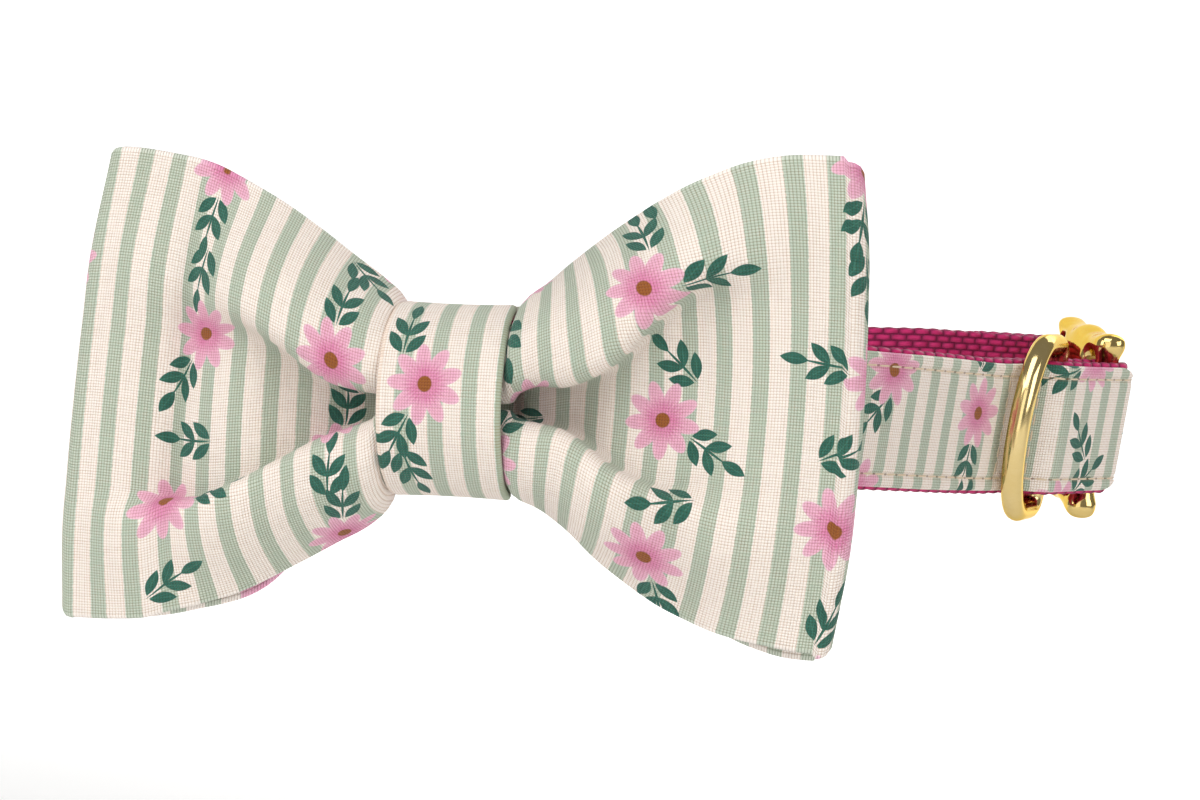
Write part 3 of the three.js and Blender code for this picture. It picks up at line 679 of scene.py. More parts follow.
def strapMiddle():
    front, frontLead = foldedEnd(strap["frontBar"], -1)
    back, backLead = foldedEnd(strap["backBar"], 1)
    shift = leanOut * backRise

    def atFront(p):
        return Vector((p.x, p.y, strap["frontBar"]["z"]))

    def atBack(p):
        return Vector((p.x + shift.x, p.y + shift.y, strap["backBar"]["z"]))

    rows = [Vector((x, y - strap["neckY"], z)) for x, y, z in strap["plan"].values()]
    through = [atFront(p) for p in frontLead] + rows + [atBack(p) for p in backLead[::-1]]
    loop = smoothLine(through, strap["spanSteps"])
    # the back end's tail runs on along the inside of the loop
    inset = strap["thick"] + strap["layerGap"]
    begin = strap["backTailFrom"]
    found, _ = stations(loop[::-1], strap["step"], begin + strap["step"], begin + strap["backTail"])
    tail = []
    for (p, _), (q, _) in zip(found, found[1:]):
        inward = leftOf(Vector((q.x - p.x, q.y - p.y)).normalized()) * inset
        tail.append(Vector((p.x + inward.x, p.y + inward.y, p.z)))
    return [atFront(p) for p in front] + loop[1:-1] + [atBack(p) for p in back[::-1]] + tail


# even stations along a line between two distances, each with its distance along the line
def stations(line, step, start=0.0, end=None):
    runs = [0.0]
    for a, b in zip(line, line[1:]):
        runs.append(runs[-1] + (b - a).length)
    end = runs[-1] if end is None else end
    count = round((end - start) / step)
    found, k = [], 0
    for i in range(count + 1):
        want = mixed(start, end, i / count)
        while k < len(line) - 2 and runs[k + 1] < want:
            k += 1
        u = (want - runs[k]) / max(runs[k + 1] - runs[k], 1e-9)
        found.append((line[k].lerp(line[k + 1], u), want))
    return found, runs[-1]


# the strap leans out at the buckle and follows the tilt of the bow behind the knot
def strapUp(p):
    knotAt = (0, strap["plan"]["knotRight"][1] - strap["neckY"])
    nearKnot = 1 - smoothStep(math.dist((p.x, p.y), knotAt), *strap["knotTilt"])
    nearBuckle = smoothStep(p.x, *strap["buckleLean"])
    up = Vector((0, 0, 1)).lerp(Vector((math.tan(math.radians(bow["tilt"])), 0, 1)), nearKnot)
    return up.lerp(Vector((leanOut.x, leanOut.y, 1)), nearBuckle)


# place, outward side and up direction at each station
def strapFrames(found):
    frames = []
    for i, (p, along) in enumerate(found):
        ahead = found[min(i + 1, len(found) - 1)][0] - found[max(i - 1, 0)][0]
        side = leftOf(Vector((ahead.x, ahead.y)).normalized())
        frames.append((p, Vector((side.x, side.y, 0)), strapUp(p), along))
    return frames


# closed ribbon; the section function gives (across, offset) pairs once round at a distance along
def ribbonPiece(name, frames, section):
    points, quads, cornerUv, sections = [], [], [], []
    for p, side, up, along in frames:
        ring = section(along)
        sections.append(ring)
        points += [p + side * offset + up * across for across, offset in ring]
    size = len(sections[0])
    for i in range(len(frames) - 1):
        s0, s1 = frames[i][3], frames[i + 1][3]
        for k in range(size):
            n = (k + 1) % size
            quads.append((i * size + k, i * size + n, (i + 1) * size + n, (i + 1) * size + k))
            a, b = sections[i][k][0], sections[i][n][0]
            cornerUv += [(s0, a), (s0, b), (s1, b), (s1, a)]
    last = (len(frames) - 1) * size
    quads += [tuple(reversed(range(size))), tuple(last + k for k in range(size))]
    cornerUv += [(frames[0][3], sections[0][k][0]) for k in reversed(range(size))]
    cornerUv += [(frames[-1][3], sections[-1][k][0]) for k in range(size)]
    return meshPiece(name, points, quads, cornerUv)


# section once round a flat strip with rounded edges: inner face up, then outer face down
def stripSection(width, inner, outer, faceSteps, edgeSteps, innerSteps=None):
    radius = (outer - inner) / 2
    middle, flat = (outer + inner) / 2, width / 2 - radius
    innerSteps = innerSteps or faceSteps
    ring = [(mixed(flat, -flat, k / innerSteps), inner) for k in range(innerSteps + 1)]
    for k in range(1, edgeSteps):
        angle = math.pi * k / edgeSteps
        ring.append((-flat - radius * math.sin(angle), middle - radius * math.cos(angle)))
    ring += [(mixed(-flat, flat, k / faceSteps), outer) for k in range(faceSteps + 1)]
    for k in range(1, edgeSteps):
        angle = math.pi * k / edgeSteps
        ring.append((flat + radius * math.sin(angle), middle + radius * math.cos(angle)))
    return ring


def makeWebbing(line):
    half = strap["thick"] / 2
    base = stripSection(strap["width"], -half, half, webbing["faceSteps"], webbing["edgeSteps"])

    def section(along):
        groove = 0.5 - 0.5 * math.cos(2 * math.pi * along / webbing["rib"])
        thin = 1 - webbing["groove"] * groove ** webbing["sharp"] / half
        narrow = 1 - webbing["scallop"] * groove / (strap["width"] / 2)
        return [(across * narrow, offset * thin) for across, offset in base]

    found, length = stations(line, strap["step"])
    return ribbonPiece("webbingLoop", strapFrames(found), section), length


def makeCover(line, length):
    inner = strap["thick"] / 2 + cover["gap"]
    outer = inner + cover["thick"]
    base = stripSection(cover["width"], inner, outer, cover["faceSteps"], cover["edgeSteps"],
                        cover["innerSteps"])
    start = strap["tail"]
    apex = start + math.pi * cover["cornerTurn"] * foldRadius
    turnEnd = start + math.pi * foldRadius

    def bell(away, width):
        return math.exp(-(away / width) ** 2)

    def section(along):
        ring = []
        wave = unevenness(along, cover["waveRow"], cover["waveLength"], cover["phase"])
        edge = cover["wave"] * wave
        edge -= cover["corner"] * bell(along - apex, cover["cornerReach"])
        beat = math.cos(2 * math.pi * along / cover["stitch"])
        for across, offset in base:
            high = smoothStep(offset, inner + cover["faceFrom"], outer)
            fromSeam = abs(across) - cover["seam"]
            dip = cover["seamDip"] * bell(fromSeam, cover["seamWidth"])
            dip += cover["pucker"] * beat * bell(fromSeam, cover["puckerWidth"])
            for back in cover["crossSeams"]:
                dip += cover["crossDip"] * bell(along - turnEnd - back, cover["crossWidth"])
            grow = 1 + edge / (cover["width"] / 2) * smoothStep(abs(across), *cover["edgeAt"])
            ring.append((across * grow, offset - dip * high))
        return ring

    end = length - start - strap["backTail"]
    found, _ = stations(line, cover["step"], start, end)
    return ribbonPiece("coverStrip", strapFrames(found), section), end - start


strapLine = strapMiddle()
webbingLoop, webbingLength = makeWebbing(strapLine)
coverStrip, coverLength = makeCover(strapLine, webbingLength)
print("webbing of", round(webbingLength), "mm and cover of", round(coverLength), "mm laid")

# one thread stitch lying along X, its ends dipping into the cloth
stitch = {
    "length": 2.55, "thread": 0.36, "sides": 8, "cuts": (-0.95, -0.6, 0.0, 0.6, 0.95),
    "dip": 0.3, "taper": 0.35, "endsAt": 4, "proud": 0.08,
}


def makeStitch():
    bpy.ops.object.select_all(action="DESELECT")
    bpy.ops.mesh.primitive_cylinder_add(
        vertices=stitch["sides"], radius=stitch["thread"] * mm / 2, depth=stitch["length"] * mm,
        rotation=(0, math.pi / 2, 0))
    piece = bpy.context.object
    piece.name = "coverStitches"
    bpy.ops.object.transform_apply(location=True, rotation=True, scale=True)
    bpy.ops.object.mode_set(mode="EDIT")
    for cut in stitch["cuts"]:
        bpy.ops.mesh.select_all(action="SELECT")
        bpy.ops.mesh.bisect(plane_co=(cut * mm, 0, 0), plane_no=(1, 0, 0))
    bpy.ops.object.mode_set(mode="OBJECT")
    for vertex in piece.data.vertices:
        share = abs(vertex.co.x) / (stitch["length"] * mm / 2)
        vertex.co.z -= stitch["dip"] * mm * share ** stitch["endsAt"]
        vertex.co.y *= 1 - stitch["taper"] * share ** stitch["endsAt"]
    bpy.ops.object.shade_smooth()
    return piece


# stitches follow both long seams and the two seams across the strap beside the ring
def stitchPlaces(line, length):
    start, inset = strap["tail"], cover["stitch"] / 2
    end = length - start - strap["backTail"]
    found, _ = stations(line, cover["stitch"], start + inset, end - inset)
    lift = strap["thick"] / 2 + cover["gap"] + cover["thick"] - cover["seamDip"] + stitch["proud"]
    places = []
    for p, side, up, _ in strapFrames(found):
        ahead = up.cross(side).normalized() * -1
        for across in (-cover["seam"], cover["seam"]):
            places.append((p + side * lift + up * across, ahead, side))
    for back in cover["crossSeams"]:
        at = start + math.pi * foldRadius + back
        (p, _), (q, _) = stations(line, 1.0, at, at + 1)[0]
        side = leftOf(Vector((q.x - p.x, q.y - p.y)).normalized()).to_3d()
        up = strapUp(p)
        for k in range(cover["crossStitches"]):
            across = (k - (cover["crossStitches"] - 1) / 2) * cover["stitch"]
            places.append((p + side * lift + up * across, up.normalized(), side))
    return places


def sewCover(line, length):
    model = makeStitch()
    copies = []
    for at, along, out in stitchPlaces(line, length):
        across = out.cross(along).normalized()
        turn = Matrix((along, across, along.cross(across))).transposed().to_4x4()
        copy = model.copy()
        copy.data = model.data.copy()
        copy.data.transform(Matrix.Translation(at * mm) @ turn)
        bpy.context.collection.objects.link(copy)
        copies.append(copy)
    bpy.data.objects.remove(model)
    selectOnly(copies[0])
    for copy in copies:
        copy.select_set(True)
    bpy.ops.object.join()
    copies[0].name = "coverStitches"
    return copies[0], len(copies)


coverStitches, stitchCount = sewCover(strapLine, webbingLength)
print("sewn with", stitchCount, "stitches")

# D-ring: round wire, modelled flat in local XZ and stood on its bar
ring = {
    "fromBar": 17.0, "wire": 4.0, "inner": 26.6, "leg": 8.5, "bow": 9.0, "corner": 2.5,
    "rest": 17.5, "pathSteps": 150, "cornerSteps": 12, "bowSteps": 90, "sideResolution": 7,
}


def ringPath():
    half = ring["inner"] / 2 + ring["wire"] / 2
    corner, leg, turns = ring["corner"], ring["leg"], ring["cornerSteps"]
    quarter = math.pi / 2
    line = [(0, -half + corner)]
    line += arcPoints(corner, half - corner, corner, corner, 2 * quarter, quarter, turns)
    line += arcPoints(leg, 0, ring["bow"], half, quarter, -quarter, ring["bowSteps"])
    line += arcPoints(corner, -half + corner, corner, corner, 3 * quarter, 2 * quarter, turns)[:-1]
    return evenSteps(line, ring["pathSteps"])[0]


# turns a piece from local axes to a heading on the front bar and leans it with the strap
def barPlace(plan, headingDeg):
    lean = Matrix(((1, 0, leanOut.x, 0), (0, 1, leanOut.y, 0), (0, 0, 1, 0), (0, 0, 0, 1)))
    return (Matrix.Translation((plan.x, plan.y, strap["frontBar"]["z"])) @ lean
            @ Matrix.Rotation(math.radians(headingDeg), 4, "Z"))


def makeRing():
    bar = strap["frontBar"]
    place = barPlace(planOf(bar) - headingOf(bar["heading"]) * ring["fromBar"],
                     bar["heading"] + 180 + ring["rest"])
    path = [place @ Vector((x, 0, z)) for x, z in ringPath()]
    wire = bpy.data.curves.new("dRing", "CURVE")
    wire.dimensions = "3D"
    wire.bevel_depth = ring["wire"] / 2 * mm
    wire.bevel_resolution = ring["sideResolution"]
    spline = wire.splines.new("POLY")
    spline.points.add(len(path) - 1)
    for point, at in zip(spline.points, path):
        point.co = (*(at * mm), 1)
    spline.use_cyclic_u = True
    piece = bpy.data.objects.new("dRingWire", wire)
    bpy.context.collection.objects.link(piece)
    selectOnly(piece)
    bpy.ops.object.convert(target="MESH")
    bpy.ops.object.mode_set(mode="EDIT")
    bpy.ops.mesh.select_all(action="SELECT")
    bpy.ops.mesh.remove_doubles(threshold=weldGap)
    bpy.ops.mesh.normals_make_consistent(inside=False)
    bpy.ops.object.mode_set(mode="OBJECT")
    bpy.ops.object.shade_smooth()
    return bpy.context.object


dRing = makeRing()
print("ring bent,", len(dRing.data.polygons), "faces")

# Buckle: the plain plate with its edges melted round, as a polished casting
buckle = {"voxel": 0.42, "smooth": 0.5, "rounds": 240, "sidesFrom": 12.6}


def makeBuckle():
    piece = bpy.data.objects.new("buckleCast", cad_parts["buckle"].data.copy())
    bpy.context.collection.objects.link(piece)
    selectOnly(piece)
    bpy.ops.object.mode_set(mode="EDIT")
    bpy.ops.mesh.select_all(action="SELECT")
    bpy.ops.mesh.remove_doubles(threshold=weldGap)
    bpy.ops.object.mode_set(mode="OBJECT")
    melt = piece.modifiers.new("melt", "REMESH")
    melt.mode = "VOXEL"
    melt.voxel_size = buckle["voxel"] * mm
    bpy.ops.object.modifier_apply(modifier=melt.name)
    sides = piece.vertex_groups.new(name="sides")
    level, reach = strap["frontBar"]["z"] * mm, buckle["sidesFrom"] * mm
    outside = [v.index for v in piece.data.vertices if abs(v.co.z - level) > reach]
    sides.add(outside, 1.0, "REPLACE")
    soften = piece.modifiers.new("soften", "SMOOTH")
    soften.vertex_group = sides.name
    soften.factor = buckle["smooth"]
    soften.iterations = buckle["rounds"]
    bpy.ops.object.modifier_apply(modifier=soften.name)
    bpy.ops.object.shade_smooth()
    return piece


buckleCast = makeBuckle()
print("buckle cast,", len(buckleCast.data.polygons), "faces")

# Materials: cloth reads its own UV map, in mm, and the rest reads Object coordinates, in metres
white, black = (1, 1, 1, 1), (0, 0, 0, 1)


# a screen colour in linear light
def hexColour(text):
    parts = [int(text[k:k + 2], 16) / 255 for k in (0, 2, 4)]
    linear = [c / 12.92 if c <= 0.04045 else ((c + 0.055) / 1.055) ** 2.4 for c in parts]
    return (*linear, 1.0)


# links what comes from another node, and sets what is a plain value
def feed(tree, socket, value):
    if isinstance(value, bpy.types.NodeSocket):
        tree.links.new(value, socket)
    else:
        socket.default_value = value


def put(tree, kind, inputs=None, **settings):
    node = tree.nodes.new(kind)
    for name, value in settings.items():
        setattr(node, name, value)
    for key, value in (inputs or {}).items():
        feed(tree, node.inputs[key], value)
    return node


def calc(tree, operation, a, b=0.0, c=0.0):
    return put(tree, "ShaderNodeMath", {0: a, 1: b, 2: c}, operation=operation).outputs[0]


def plus(tree, a, b):
    return calc(tree, "ADD", a, b)


def minus(tree, a, b):
    return calc(tree, "SUBTRACT", a, b)


def times(tree, a, b):
    return calc(tree, "MULTIPLY", a, b)


def over(tree, a, b):
    return calc(tree, "DIVIDE", a, b)


def timesPlus(tree, a, b, c):
    return calc(tree, "MULTIPLY_ADD", a, b, c)


def lengthOf(tree, a, b):
    return calc(tree, "SQRT", plus(tree, times(tree, a, a), times(tree, b, b)))


def stepUp(tree, value, low, high):
    return put(tree, "ShaderNodeMapRange", {"Value": value, "From Min": low, "From Max": high},
               interpolation_type="SMOOTHSTEP").outputs["Result"]


def stepDown(tree, value, low, high):
    return minus(tree, 1.0, stepUp(tree, value, low, high))


def mixColour(tree, share, a, b, blend="MIX"):
    return put(tree, "ShaderNodeMix", {0: share, 6: a, 7: b}, data_type="RGBA",
               blend_type=blend).outputs[2]


def noiseAt(tree, vector, scale, detail, rough=0.55):
    return put(tree, "ShaderNodeTexNoise", {"Vector": vector, "Scale": scale, "Detail": detail,
                                            "Roughness": rough}).outputs["Fac"]


def vectorCalc(tree, operation, a, b, c=(0, 0, 0)):
    return put(tree, "ShaderNodeVectorMath", {0: a, 1: b, 2: c}, operation=operation).outputs[0]


def scaled(tree, vector, scale):
    return put(tree, "ShaderNodeVectorMath", {0: vector, "Scale": scale},
               operation="SCALE").outputs[0]


def stretched(tree, vector, scale):
    return vectorCalc(tree, "MULTIPLY", vector, scale)


def apart(tree, vector):
    return put(tree, "ShaderNodeSeparateXYZ", {0: vector}).outputs


# raised spot where two sets of yarns cross, from each set's wave
def nubOf(tree, a, b, roundness):
    crossing = times(tree, calc(tree, "SINE", a), calc(tree, "SINE", b))
    return calc(tree, "POWER", calc(tree, "ABSOLUTE", crossing), roundness)


def newGroup(name, inputs, outputs):
    tree = bpy.data.node_groups.new(name, "ShaderNodeTree")
    for way, sockets in (("INPUT", inputs), ("OUTPUT", outputs)):
        for label, kind in sockets.items():
            tree.interface.new_socket(label, in_out=way, socket_type="NodeSocket" + kind)
    enter = tree.nodes.new("NodeGroupInput")
    leave = tree.nodes.new("NodeGroupOutput")
    return tree, enter.outputs, leave.inputs


def useGroup(tree, group, inputs):
    return put(tree, "ShaderNodeGroup", inputs, node_tree=group).outputs


# colours and sizes of the print and its cotton; sizes in mm of cloth, shares from 0 to 1
prints = {
    "cream": hexColour("FBF1E8"), "sage": hexColour("B2C2AE"), "pink": hexColour("F0B4CC"),
    "pinkDeep": hexColour("DE82AC"), "pinkRim": hexColour("F6CBDC"), "leaf": hexColour("2F6557"),
    # the last colour here is painted shade for the gaps between the yarns
    "leafLight": hexColour("4F8B76"), "heart": hexColour("9A5B2A"), "yarnGapShade": hexColour("D3BCA6"),
    "period": 5.7, "share": 0.45, "softEdge": 0.02, "bleed": 0.35, "bleedScale": 1.9,
    "cell": (29.0, 27.0, 1.0), "jitter": 3.0, "looseSeed": 7.0,
    "daisy": 6.4, "daisyAt": (3.6, 1.4, 0),
    # the nub share takes ink off the nub tops as a painted highlight, and the gap shade share sets
    # where the painted shade between the yarns starts and ends
    "wash": 0.55, "nubHighlight": -0.42, "ink": 0.8, "inkSlub": 0.6, "gapShade": (0.15, 0.75),
    "rough": 0.74, "roughSlub": 0.2, "sheen": 0.12, "specular": 0.25, "bump": 0.0002,
}
yarn = {
    "pitch": 0.47, "nub": 0.6, "across": 2.1, "along": 0.16, "nubHeight": 0.75, "slubHeight": 0.5,
}
# petals and heart in shares of the flower's radius
daisy = {
    "petals": 9, "middle": 0.57, "halfLength": 0.43, "halfWidth": 0.2, "edge": (0.94, 1.05),
    "rim": (0.55, 1.0), "rimShare": 0.6, "heart": (0.17, 0.21),
    "throat": (0.22, 0.66), "throatWash": 0.35, "streaks": 30, "streak": 0.08,
}
leaf = {"edge": (-0.06, 0.08), "vein": (0.04, 0.14), "veinShare": 0.35, "washFrom": 0.42}
# small leaves in pairs up a stem, lying along X from the middle of a cell
frond = {
    "leaves": 2, "first": 2.2, "gap": 3.0, "spread": 1.75, "narrows": 0.12, "tip": 0.9, "turn": 38,
    "size": (2.2, 0.95, 1), "stem": 0.22,
    "onSprig": {"foot": (1.2, 0.6), "pointing": 22}, "loose": {"foot": (-5.2, 0.0), "pointing": 0},
}


# yarns crossing over and under, some thicker and some thinner
def weaveGroup():
    tree, given, out = newGroup("plainWeave", {"Cloth": "Vector", "Pitch": "Float"},
                                {"Height": "Float", "Slub": "Float", "Nub": "Float"})
    x, y, _ = apart(tree, given["Cloth"])
    turn = over(tree, math.pi, given["Pitch"])
    nub = nubOf(tree, times(tree, x, turn), times(tree, y, turn), yarn["nub"])
    across, along = yarn["across"], yarn["along"]
    warp = noiseAt(tree, stretched(tree, given["Cloth"], (across, along, 1)), 1.0, 2.0)
    weft = noiseAt(tree, stretched(tree, given["Cloth"], (along, across, 1)), 1.0, 2.0)
    slub = times(tree, plus(tree, warp, weft), 0.5)
    height = timesPlus(tree, nub, yarn["nubHeight"], times(tree, slub, yarn["slubHeight"]))
    feed(tree, out["Slub"], slub)
    feed(tree, out["Nub"], nub)
    feed(tree, out["Height"], height)
    return tree


# even stripes along X of the cloth, their edges a little soft as dye spreads in the yarn
def stripeGroup():
    tree, given, out = newGroup("clothStripes", {
        "Cloth": "Vector", "Period": "Float", "Share": "Float", "Shift": "Float"},
        {"Mask": "Float"})
    x, _, _ = apart(tree, given["Cloth"])
    spread = minus(tree, noiseAt(tree, given["Cloth"], prints["bleedScale"], 2.0), 0.5)
    bleed = times(tree, spread, prints["bleed"])
    moved = plus(tree, plus(tree, x, given["Shift"]), bleed)
    share = calc(tree, "FRACT", over(tree, moved, given["Period"]))
    gap = calc(tree, "ABSOLUTE", minus(tree, share, 0.5))
    half = times(tree, given["Share"], 0.5)
    low = minus(tree, half, prints["softEdge"])
    high = plus(tree, half, prints["softEdge"])
    feed(tree, out["Mask"], stepDown(tree, gap, low, high))
    return tree


# splits the cloth into cells in a half drop; each cell has its own turn and shift
def cellGroup():
    tree, given, out = newGroup("halfDrop", {
        "Cloth": "Vector", "Cell": "Vector", "Jitter": "Float", "Seed": "Float"},
        {"Local": "Vector"})
    x, y, _ = apart(tree, vectorCalc(tree, "DIVIDE", given["Cloth"], given["Cell"]))
    column = calc(tree, "FLOOR", x)
    dropped = plus(tree, y, calc(tree, "FRACT", times(tree, column, 0.5)))
    row = calc(tree, "FLOOR", dropped)
    inX = minus(tree, minus(tree, x, column), 0.5)
    inY = minus(tree, minus(tree, dropped, row), 0.5)
    name = put(tree, "ShaderNodeCombineXYZ", {0: column, 1: row, 2: given["Seed"]}).outputs[0]
    chance = put(tree, "ShaderNodeTexWhiteNoise", {"Vector": name}, noise_dimensions="3D").outputs
    centred = vectorCalc(tree, "SUBTRACT", chance["Color"], (0.5, 0.5, 0.5))
    moved = scaled(tree, centred, given["Jitter"])
    inside = put(tree, "ShaderNodeCombineXYZ", {0: inX, 1: inY}).outputs[0]
    sized = vectorCalc(tree, "MULTIPLY_ADD", inside, given["Cell"], moved)
    flat = vectorCalc(tree, "MULTIPLY", sized, (1, 1, 0))
    turn = times(tree, chance["Value"], 2 * math.pi)
    turned = put(tree, "ShaderNodeVectorRotate", {"Vector": flat, "Angle": turn},
                 rotation_type="Z_AXIS").outputs[0]
    feed(tree, out["Local"], turned)
    return tree


# daisy with slim round-ended petals about a small heart
def daisyGroup():
    tree, given, out = newGroup("slimDaisy", {"Local": "Vector", "Radius": "Float"}, {
        "Petals": "Float", "Heart": "Float", "Throat": "Float", "Rim": "Float"})
    unit = scaled(tree, given["Local"], over(tree, 1.0, given["Radius"]))
    x, y, _ = apart(tree, unit)
    far = put(tree, "ShaderNodeVectorMath", {0: unit}, operation="LENGTH").outputs["Value"]
    turn = times(tree, calc(tree, "ARCTAN2", y, x), daisy["petals"] / (2 * math.pi))
    inPetal = minus(tree, turn, calc(tree, "ROUND", turn))
    angle = times(tree, inPetal, 2 * math.pi / daisy["petals"])
    along = times(tree, far, calc(tree, "COSINE", angle))
    across = times(tree, far, calc(tree, "SINE", angle))
    along = over(tree, minus(tree, along, daisy["middle"]), daisy["halfLength"])
    across = over(tree, across, daisy["halfWidth"])
    fromMiddle = lengthOf(tree, along, across)
    streaks = calc(tree, "COSINE", times(tree, angle, daisy["streaks"]))
    feed(tree, out["Petals"], stepDown(tree, fromMiddle, *daisy["edge"]))
    feed(tree, out["Rim"], stepUp(tree, fromMiddle, *daisy["rim"]))
    feed(tree, out["Heart"], stepDown(tree, far, *daisy["heart"]))
    streaked = timesPlus(tree, streaks, daisy["streak"], far)
    feed(tree, out["Throat"], stepDown(tree, streaked, *daisy["throat"]))
    return tree


# pointed leaf lying along X
def leafGroup():
    tree, given, out = newGroup("plainLeaf", {
        "Local": "Vector", "Place": "Vector", "Turn": "Vector", "Size": "Vector"},
        {"Mask": "Float", "Vein": "Float"})
    unit = put(tree, "ShaderNodeMapping", {"Vector": given["Local"], "Location": given["Place"],
                                           "Rotation": given["Turn"], "Scale": given["Size"]},
               vector_type="TEXTURE").outputs[0]
    x, y, _ = apart(tree, unit)
    side = calc(tree, "ABSOLUTE", y)
    outline = minus(tree, 1.0, times(tree, x, x))
    feed(tree, out["Mask"], stepDown(tree, minus(tree, side, outline), *leaf["edge"]))
    feed(tree, out["Vein"], stepDown(tree, side, *leaf["vein"]))
    return tree


# place, turn and size of each leaf of one frond and of its stem
def frondRows(foot, pointing):
    turn = math.radians(pointing)

    def placed(x, y):
        return (foot[0] + x * math.cos(turn) - y * math.sin(turn),
                foot[1] + x * math.sin(turn) + y * math.cos(turn), 0)

    rows = []
    for k in range(frond["leaves"]):
        for side in (-1, 1):
            spread = side * frond["spread"] * (1 - frond["narrows"] * k)
            rows.append((placed(frond["first"] + frond["gap"] * k, spread),
                         pointing + side * frond["turn"], frond["size"]))
    end = frond["first"] + frond["gap"] * frond["leaves"]
    rows.append((placed(end + frond["tip"], 0), pointing, frond["size"]))
    rows.append((placed(end / 2, 0), pointing, (end / 2, frond["stem"], 1)))
    return rows


def clothGroup():
    weave, stripes, cells = weaveGroup(), stripeGroup(), cellGroup()
    daisyShape, leafShape = daisyGroup(), leafGroup()
    tree, given, out = newGroup("printedCotton", {
        "Cloth": "Vector", "Stripe Shift": "Float", "Print Shift": "Vector", "Seed": "Float"},
        {"Color": "Color", "Height": "Float", "Roughness": "Float"})
    cloth = given["Cloth"]
    made = useGroup(tree, weave, {"Cloth": cloth, "Pitch": yarn["pitch"]})
    stripe = useGroup(tree, stripes, {"Cloth": cloth, "Period": prints["period"],
                                      "Share": prints["share"],
                                      "Shift": given["Stripe Shift"]})["Mask"]
    moved = vectorCalc(tree, "ADD", cloth, given["Print Shift"])
    halfway = vectorCalc(tree, "ADD", moved, (0.0, prints["cell"][1] / 2, 0))
    # less ink on the nub tops: a painted highlight that lightens them in the stripes
    ink = plus(tree, timesPlus(tree, made["Slub"], prints["inkSlub"], prints["ink"]),
               times(tree, made["Nub"], prints["nubHighlight"]))
    wash = noiseAt(tree, cloth, prints["wash"], 3.0)

    def cellsAt(at, seed):
        return useGroup(tree, cells, {"Cloth": at, "Cell": prints["cell"],
                                      "Jitter": prints["jitter"], "Seed": seed})["Local"]

    def layLeaves(colour, local, rows):
        for place, turn, size in rows:
            shape = useGroup(tree, leafShape, {"Local": local, "Place": place, "Size": size,
                                               "Turn": (0, 0, math.radians(turn))})
            tone = plus(tree, times(tree, shape["Vein"], leaf["veinShare"]),
                        minus(tree, wash, leaf["washFrom"]))
            green = mixColour(tree, tone, prints["leaf"], prints["leafLight"])
            colour = mixColour(tree, shape["Mask"], colour, green)
        return colour

    def layFlower(colour, local):
        shape = useGroup(tree, daisyShape, {"Local": local, "Radius": prints["daisy"]})
        rim = times(tree, shape["Rim"], daisy["rimShare"])
        pink = mixColour(tree, rim, prints["pink"], prints["pinkRim"])
        tone = times(tree, shape["Throat"], plus(tree, wash, daisy["throatWash"]))
        pink = mixColour(tree, tone, pink, prints["pinkDeep"])
        colour = mixColour(tree, shape["Petals"], colour, pink)
        return mixColour(tree, shape["Heart"], colour, prints["heart"])

    colour = mixColour(tree, times(tree, stripe, ink), prints["cream"], prints["sage"])
    loose = cellsAt(halfway, plus(tree, given["Seed"], prints["looseSeed"]))
    colour = layLeaves(colour, loose, frondRows(**frond["loose"]))
    sprigs = cellsAt(moved, given["Seed"])
    colour = layLeaves(colour, sprigs, frondRows(**frond["onSprig"]))
    colour = layFlower(colour, vectorCalc(tree, "ADD", sprigs, prints["daisyAt"]))
    # painted shade and highlight: the yarn gaps are darkened and warmed as shade, and the nubs that
    # catch the light keep the full colour
    shade = stepUp(tree, made["Height"], *prints["gapShade"])
    tint = mixColour(tree, shade, prints["yarnGapShade"], white)
    feed(tree, out["Color"], mixColour(tree, 1.0, colour, tint, "MULTIPLY"))
    feed(tree, out["Height"], made["Height"])
    rough = timesPlus(tree, made["Slub"], prints["roughSlub"], prints["rough"])
    feed(tree, out["Roughness"], rough)
    return tree


# soft wear and fine scratches on polished metal
metal = {
    "cloud": 260.0, "scratch": (900, 900, 5200), "wornAt": (0.42, 0.75),
    "cloudTone": 0.6, "scratchTone": 0.3, "cloudHeight": 0.8, "scratchHeight": 0.4,
    "bump": 0.00002, "bumpShare": 0.5,
}


def polishGroup():
    tree, given, out = newGroup("polishWear", {
        "Place": "Vector", "Smooth": "Float", "Dull": "Float"},
        {"Roughness": "Float", "Tone": "Float", "Height": "Float"})
    cloud = noiseAt(tree, given["Place"], metal["cloud"], 4.0)
    scratch = noiseAt(tree, stretched(tree, given["Place"], metal["scratch"]), 1.0, 2.0)
    wear = stepUp(tree, cloud, *metal["wornAt"])
    spread = minus(tree, given["Dull"], given["Smooth"])
    feed(tree, out["Roughness"], timesPlus(tree, wear, spread, given["Smooth"]))
    feed(tree, out["Tone"], timesPlus(tree, cloud, metal["cloudTone"],
                                      times(tree, scratch, metal["scratchTone"])))
    feed(tree, out["Height"], timesPlus(tree, scratch, metal["scratchHeight"],
                                        times(tree, cloud, metal["cloudHeight"])))
    return tree


def newMaterial(name):
    material = bpy.data.materials.new(name)
    material.use_nodes = True
    tree = material.node_tree
    return material, tree, tree.nodes["Principled BSDF"].inputs


def addBump(tree, shader, height, distance, strength=1.0):
    bump = put(tree, "ShaderNodeBump", {"Height": height, "Distance": distance,
                                        "Strength": strength})
    feed(tree, shader["Normal"], bump.outputs["Normal"])


def clothCoords(tree):
    return put(tree, "ShaderNodeUVMap", uv_map="cloth").outputs["UV"]


def objectCoords(tree):
    return put(tree, "ShaderNodeTexCoord").outputs["Object"]


printedCloth = clothGroup()
polish = polishGroup()


